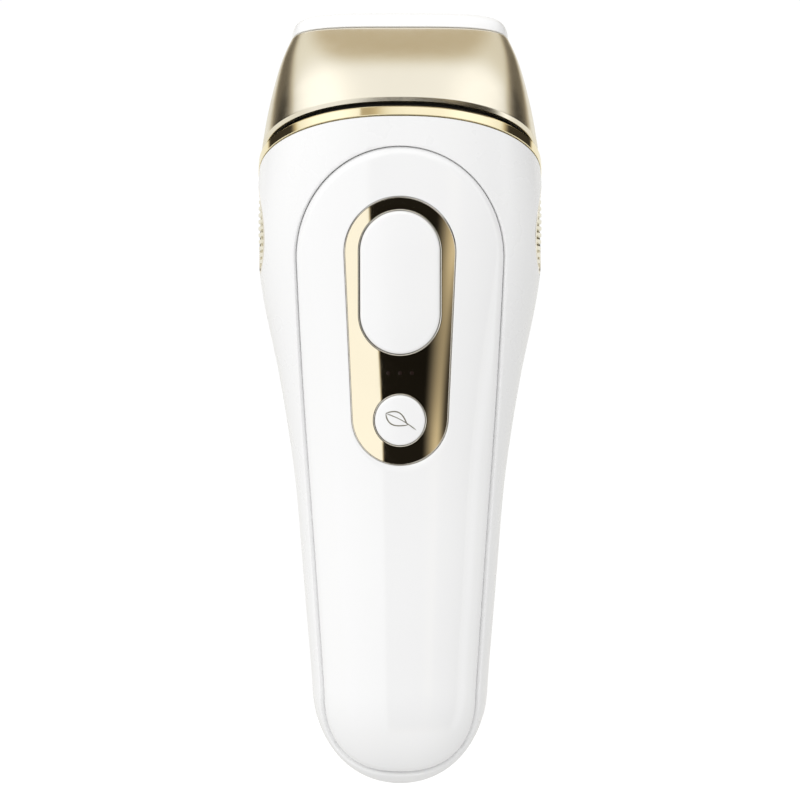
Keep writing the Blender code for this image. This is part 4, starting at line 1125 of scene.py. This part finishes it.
class MakeFinishes(bpy.types.Operator):
    """Make the finishes in the chosen colours"""

    bl_idname = "hair_remover.make_finishes"
    bl_label = "Finishes"

    def execute(self, context):
        FINISHES.update(make_finishes())
        return {"FINISHED"}


class BuildShells(bpy.types.Operator):
    """Make the front and rear shells of the handle"""

    bl_idname = "hair_remover.build_shells"
    bl_label = "Handle Shells"

    def execute(self, context):
        build_front_shell()
        build_rear_shell()
        return {"FINISHED"}


class BuildPanel(bpy.types.Operator):
    """Make the glossy front panel with its rounded edge"""

    bl_idname = "hair_remover.build_panel"
    bl_label = "Front Panel"

    def execute(self, context):
        build_front_panel()
        return {"FINISHED"}


class BuildControls(bpy.types.Operator):
    """Make the mirror plate, the trigger, the mode button and its leaf"""

    bl_idname = "hair_remover.build_controls"
    bl_label = "Controls"

    def execute(self, context):
        build_control_plate()
        build_trigger()
        build_mode_button()
        return {"FINISHED"}


class BuildVents(bpy.types.Operator):
    """Make the slatted grille on each side"""

    bl_idname = "hair_remover.build_vents"
    bl_label = "Side Vents"

    def execute(self, context):
        build_vents()
        return {"FINISHED"}


class BuildHead(bpy.types.Operator):
    """Make the collar, the neck, the satin head and its window frame"""

    bl_idname = "hair_remover.build_head"
    bl_label = "Treatment Head"

    def execute(self, context):
        build_collar()
        build_head()
        build_window()
        return {"FINISHED"}


class BuildFasteners(bpy.types.Operator):
    """Make the shell screws and the power inlet, and finish the inner parts"""

    bl_idname = "hair_remover.build_fasteners"
    bl_label = "Screws, Inlet and Inner Parts"

    def execute(self, context):
        build_fasteners()
        finish_inner_parts()
        return {"FINISHED"}


class BuildStudio(bpy.types.Operator):
    """Make the floor, the surround, the lights and the camera"""

    bl_idname = "hair_remover.build_studio"
    bl_label = "Studio"

    def execute(self, context):
        build_floor()
        build_surround()
        build_lights()
        build_camera()
        return {"FINISHED"}


OPERATORS = (
    MakeFinishes, BuildStudio, BuildShells, BuildPanel, BuildControls, BuildVents, BuildHead, BuildFasteners,
)


class HairRemoverPanel(bpy.types.Panel):
    """Lists the sizes and the building steps"""

    bl_idname = "VIEW3D_PT_hair_remover"
    bl_label = "Hair Remover"
    bl_space_type = "VIEW_3D"
    bl_region_type = "UI"
    bl_category = "Hair Remover"

    def draw(self, context):
        for key in HairRemoverSettings.__annotations__:
            self.layout.prop(context.scene.hair_remover, key)
        for operator in OPERATORS:
            self.layout.operator(operator.bl_idname)


CLASSES = (HairRemoverSettings, *OPERATORS, HairRemoverPanel)


def register():
    for made in CLASSES:
        bpy.utils.register_class(made)
    bpy.types.Scene.hair_remover = bpy.props.PointerProperty(type=HairRemoverSettings)


def unregister():
    del bpy.types.Scene.hair_remover
    for made in reversed(CLASSES):
        bpy.utils.unregister_class(made)


def main():
    register()
    bpy.ops.hair_remover.make_finishes()
    bpy.ops.hair_remover.build_studio()
    bpy.ops.hair_remover.build_shells()
    bpy.ops.hair_remover.build_panel()
    bpy.ops.hair_remover.build_controls()
    bpy.ops.hair_remover.build_vents()
    bpy.ops.hair_remover.build_head()
    bpy.ops.hair_remover.build_fasteners()
    deselect()


if __name__ == "__main__":
    main()
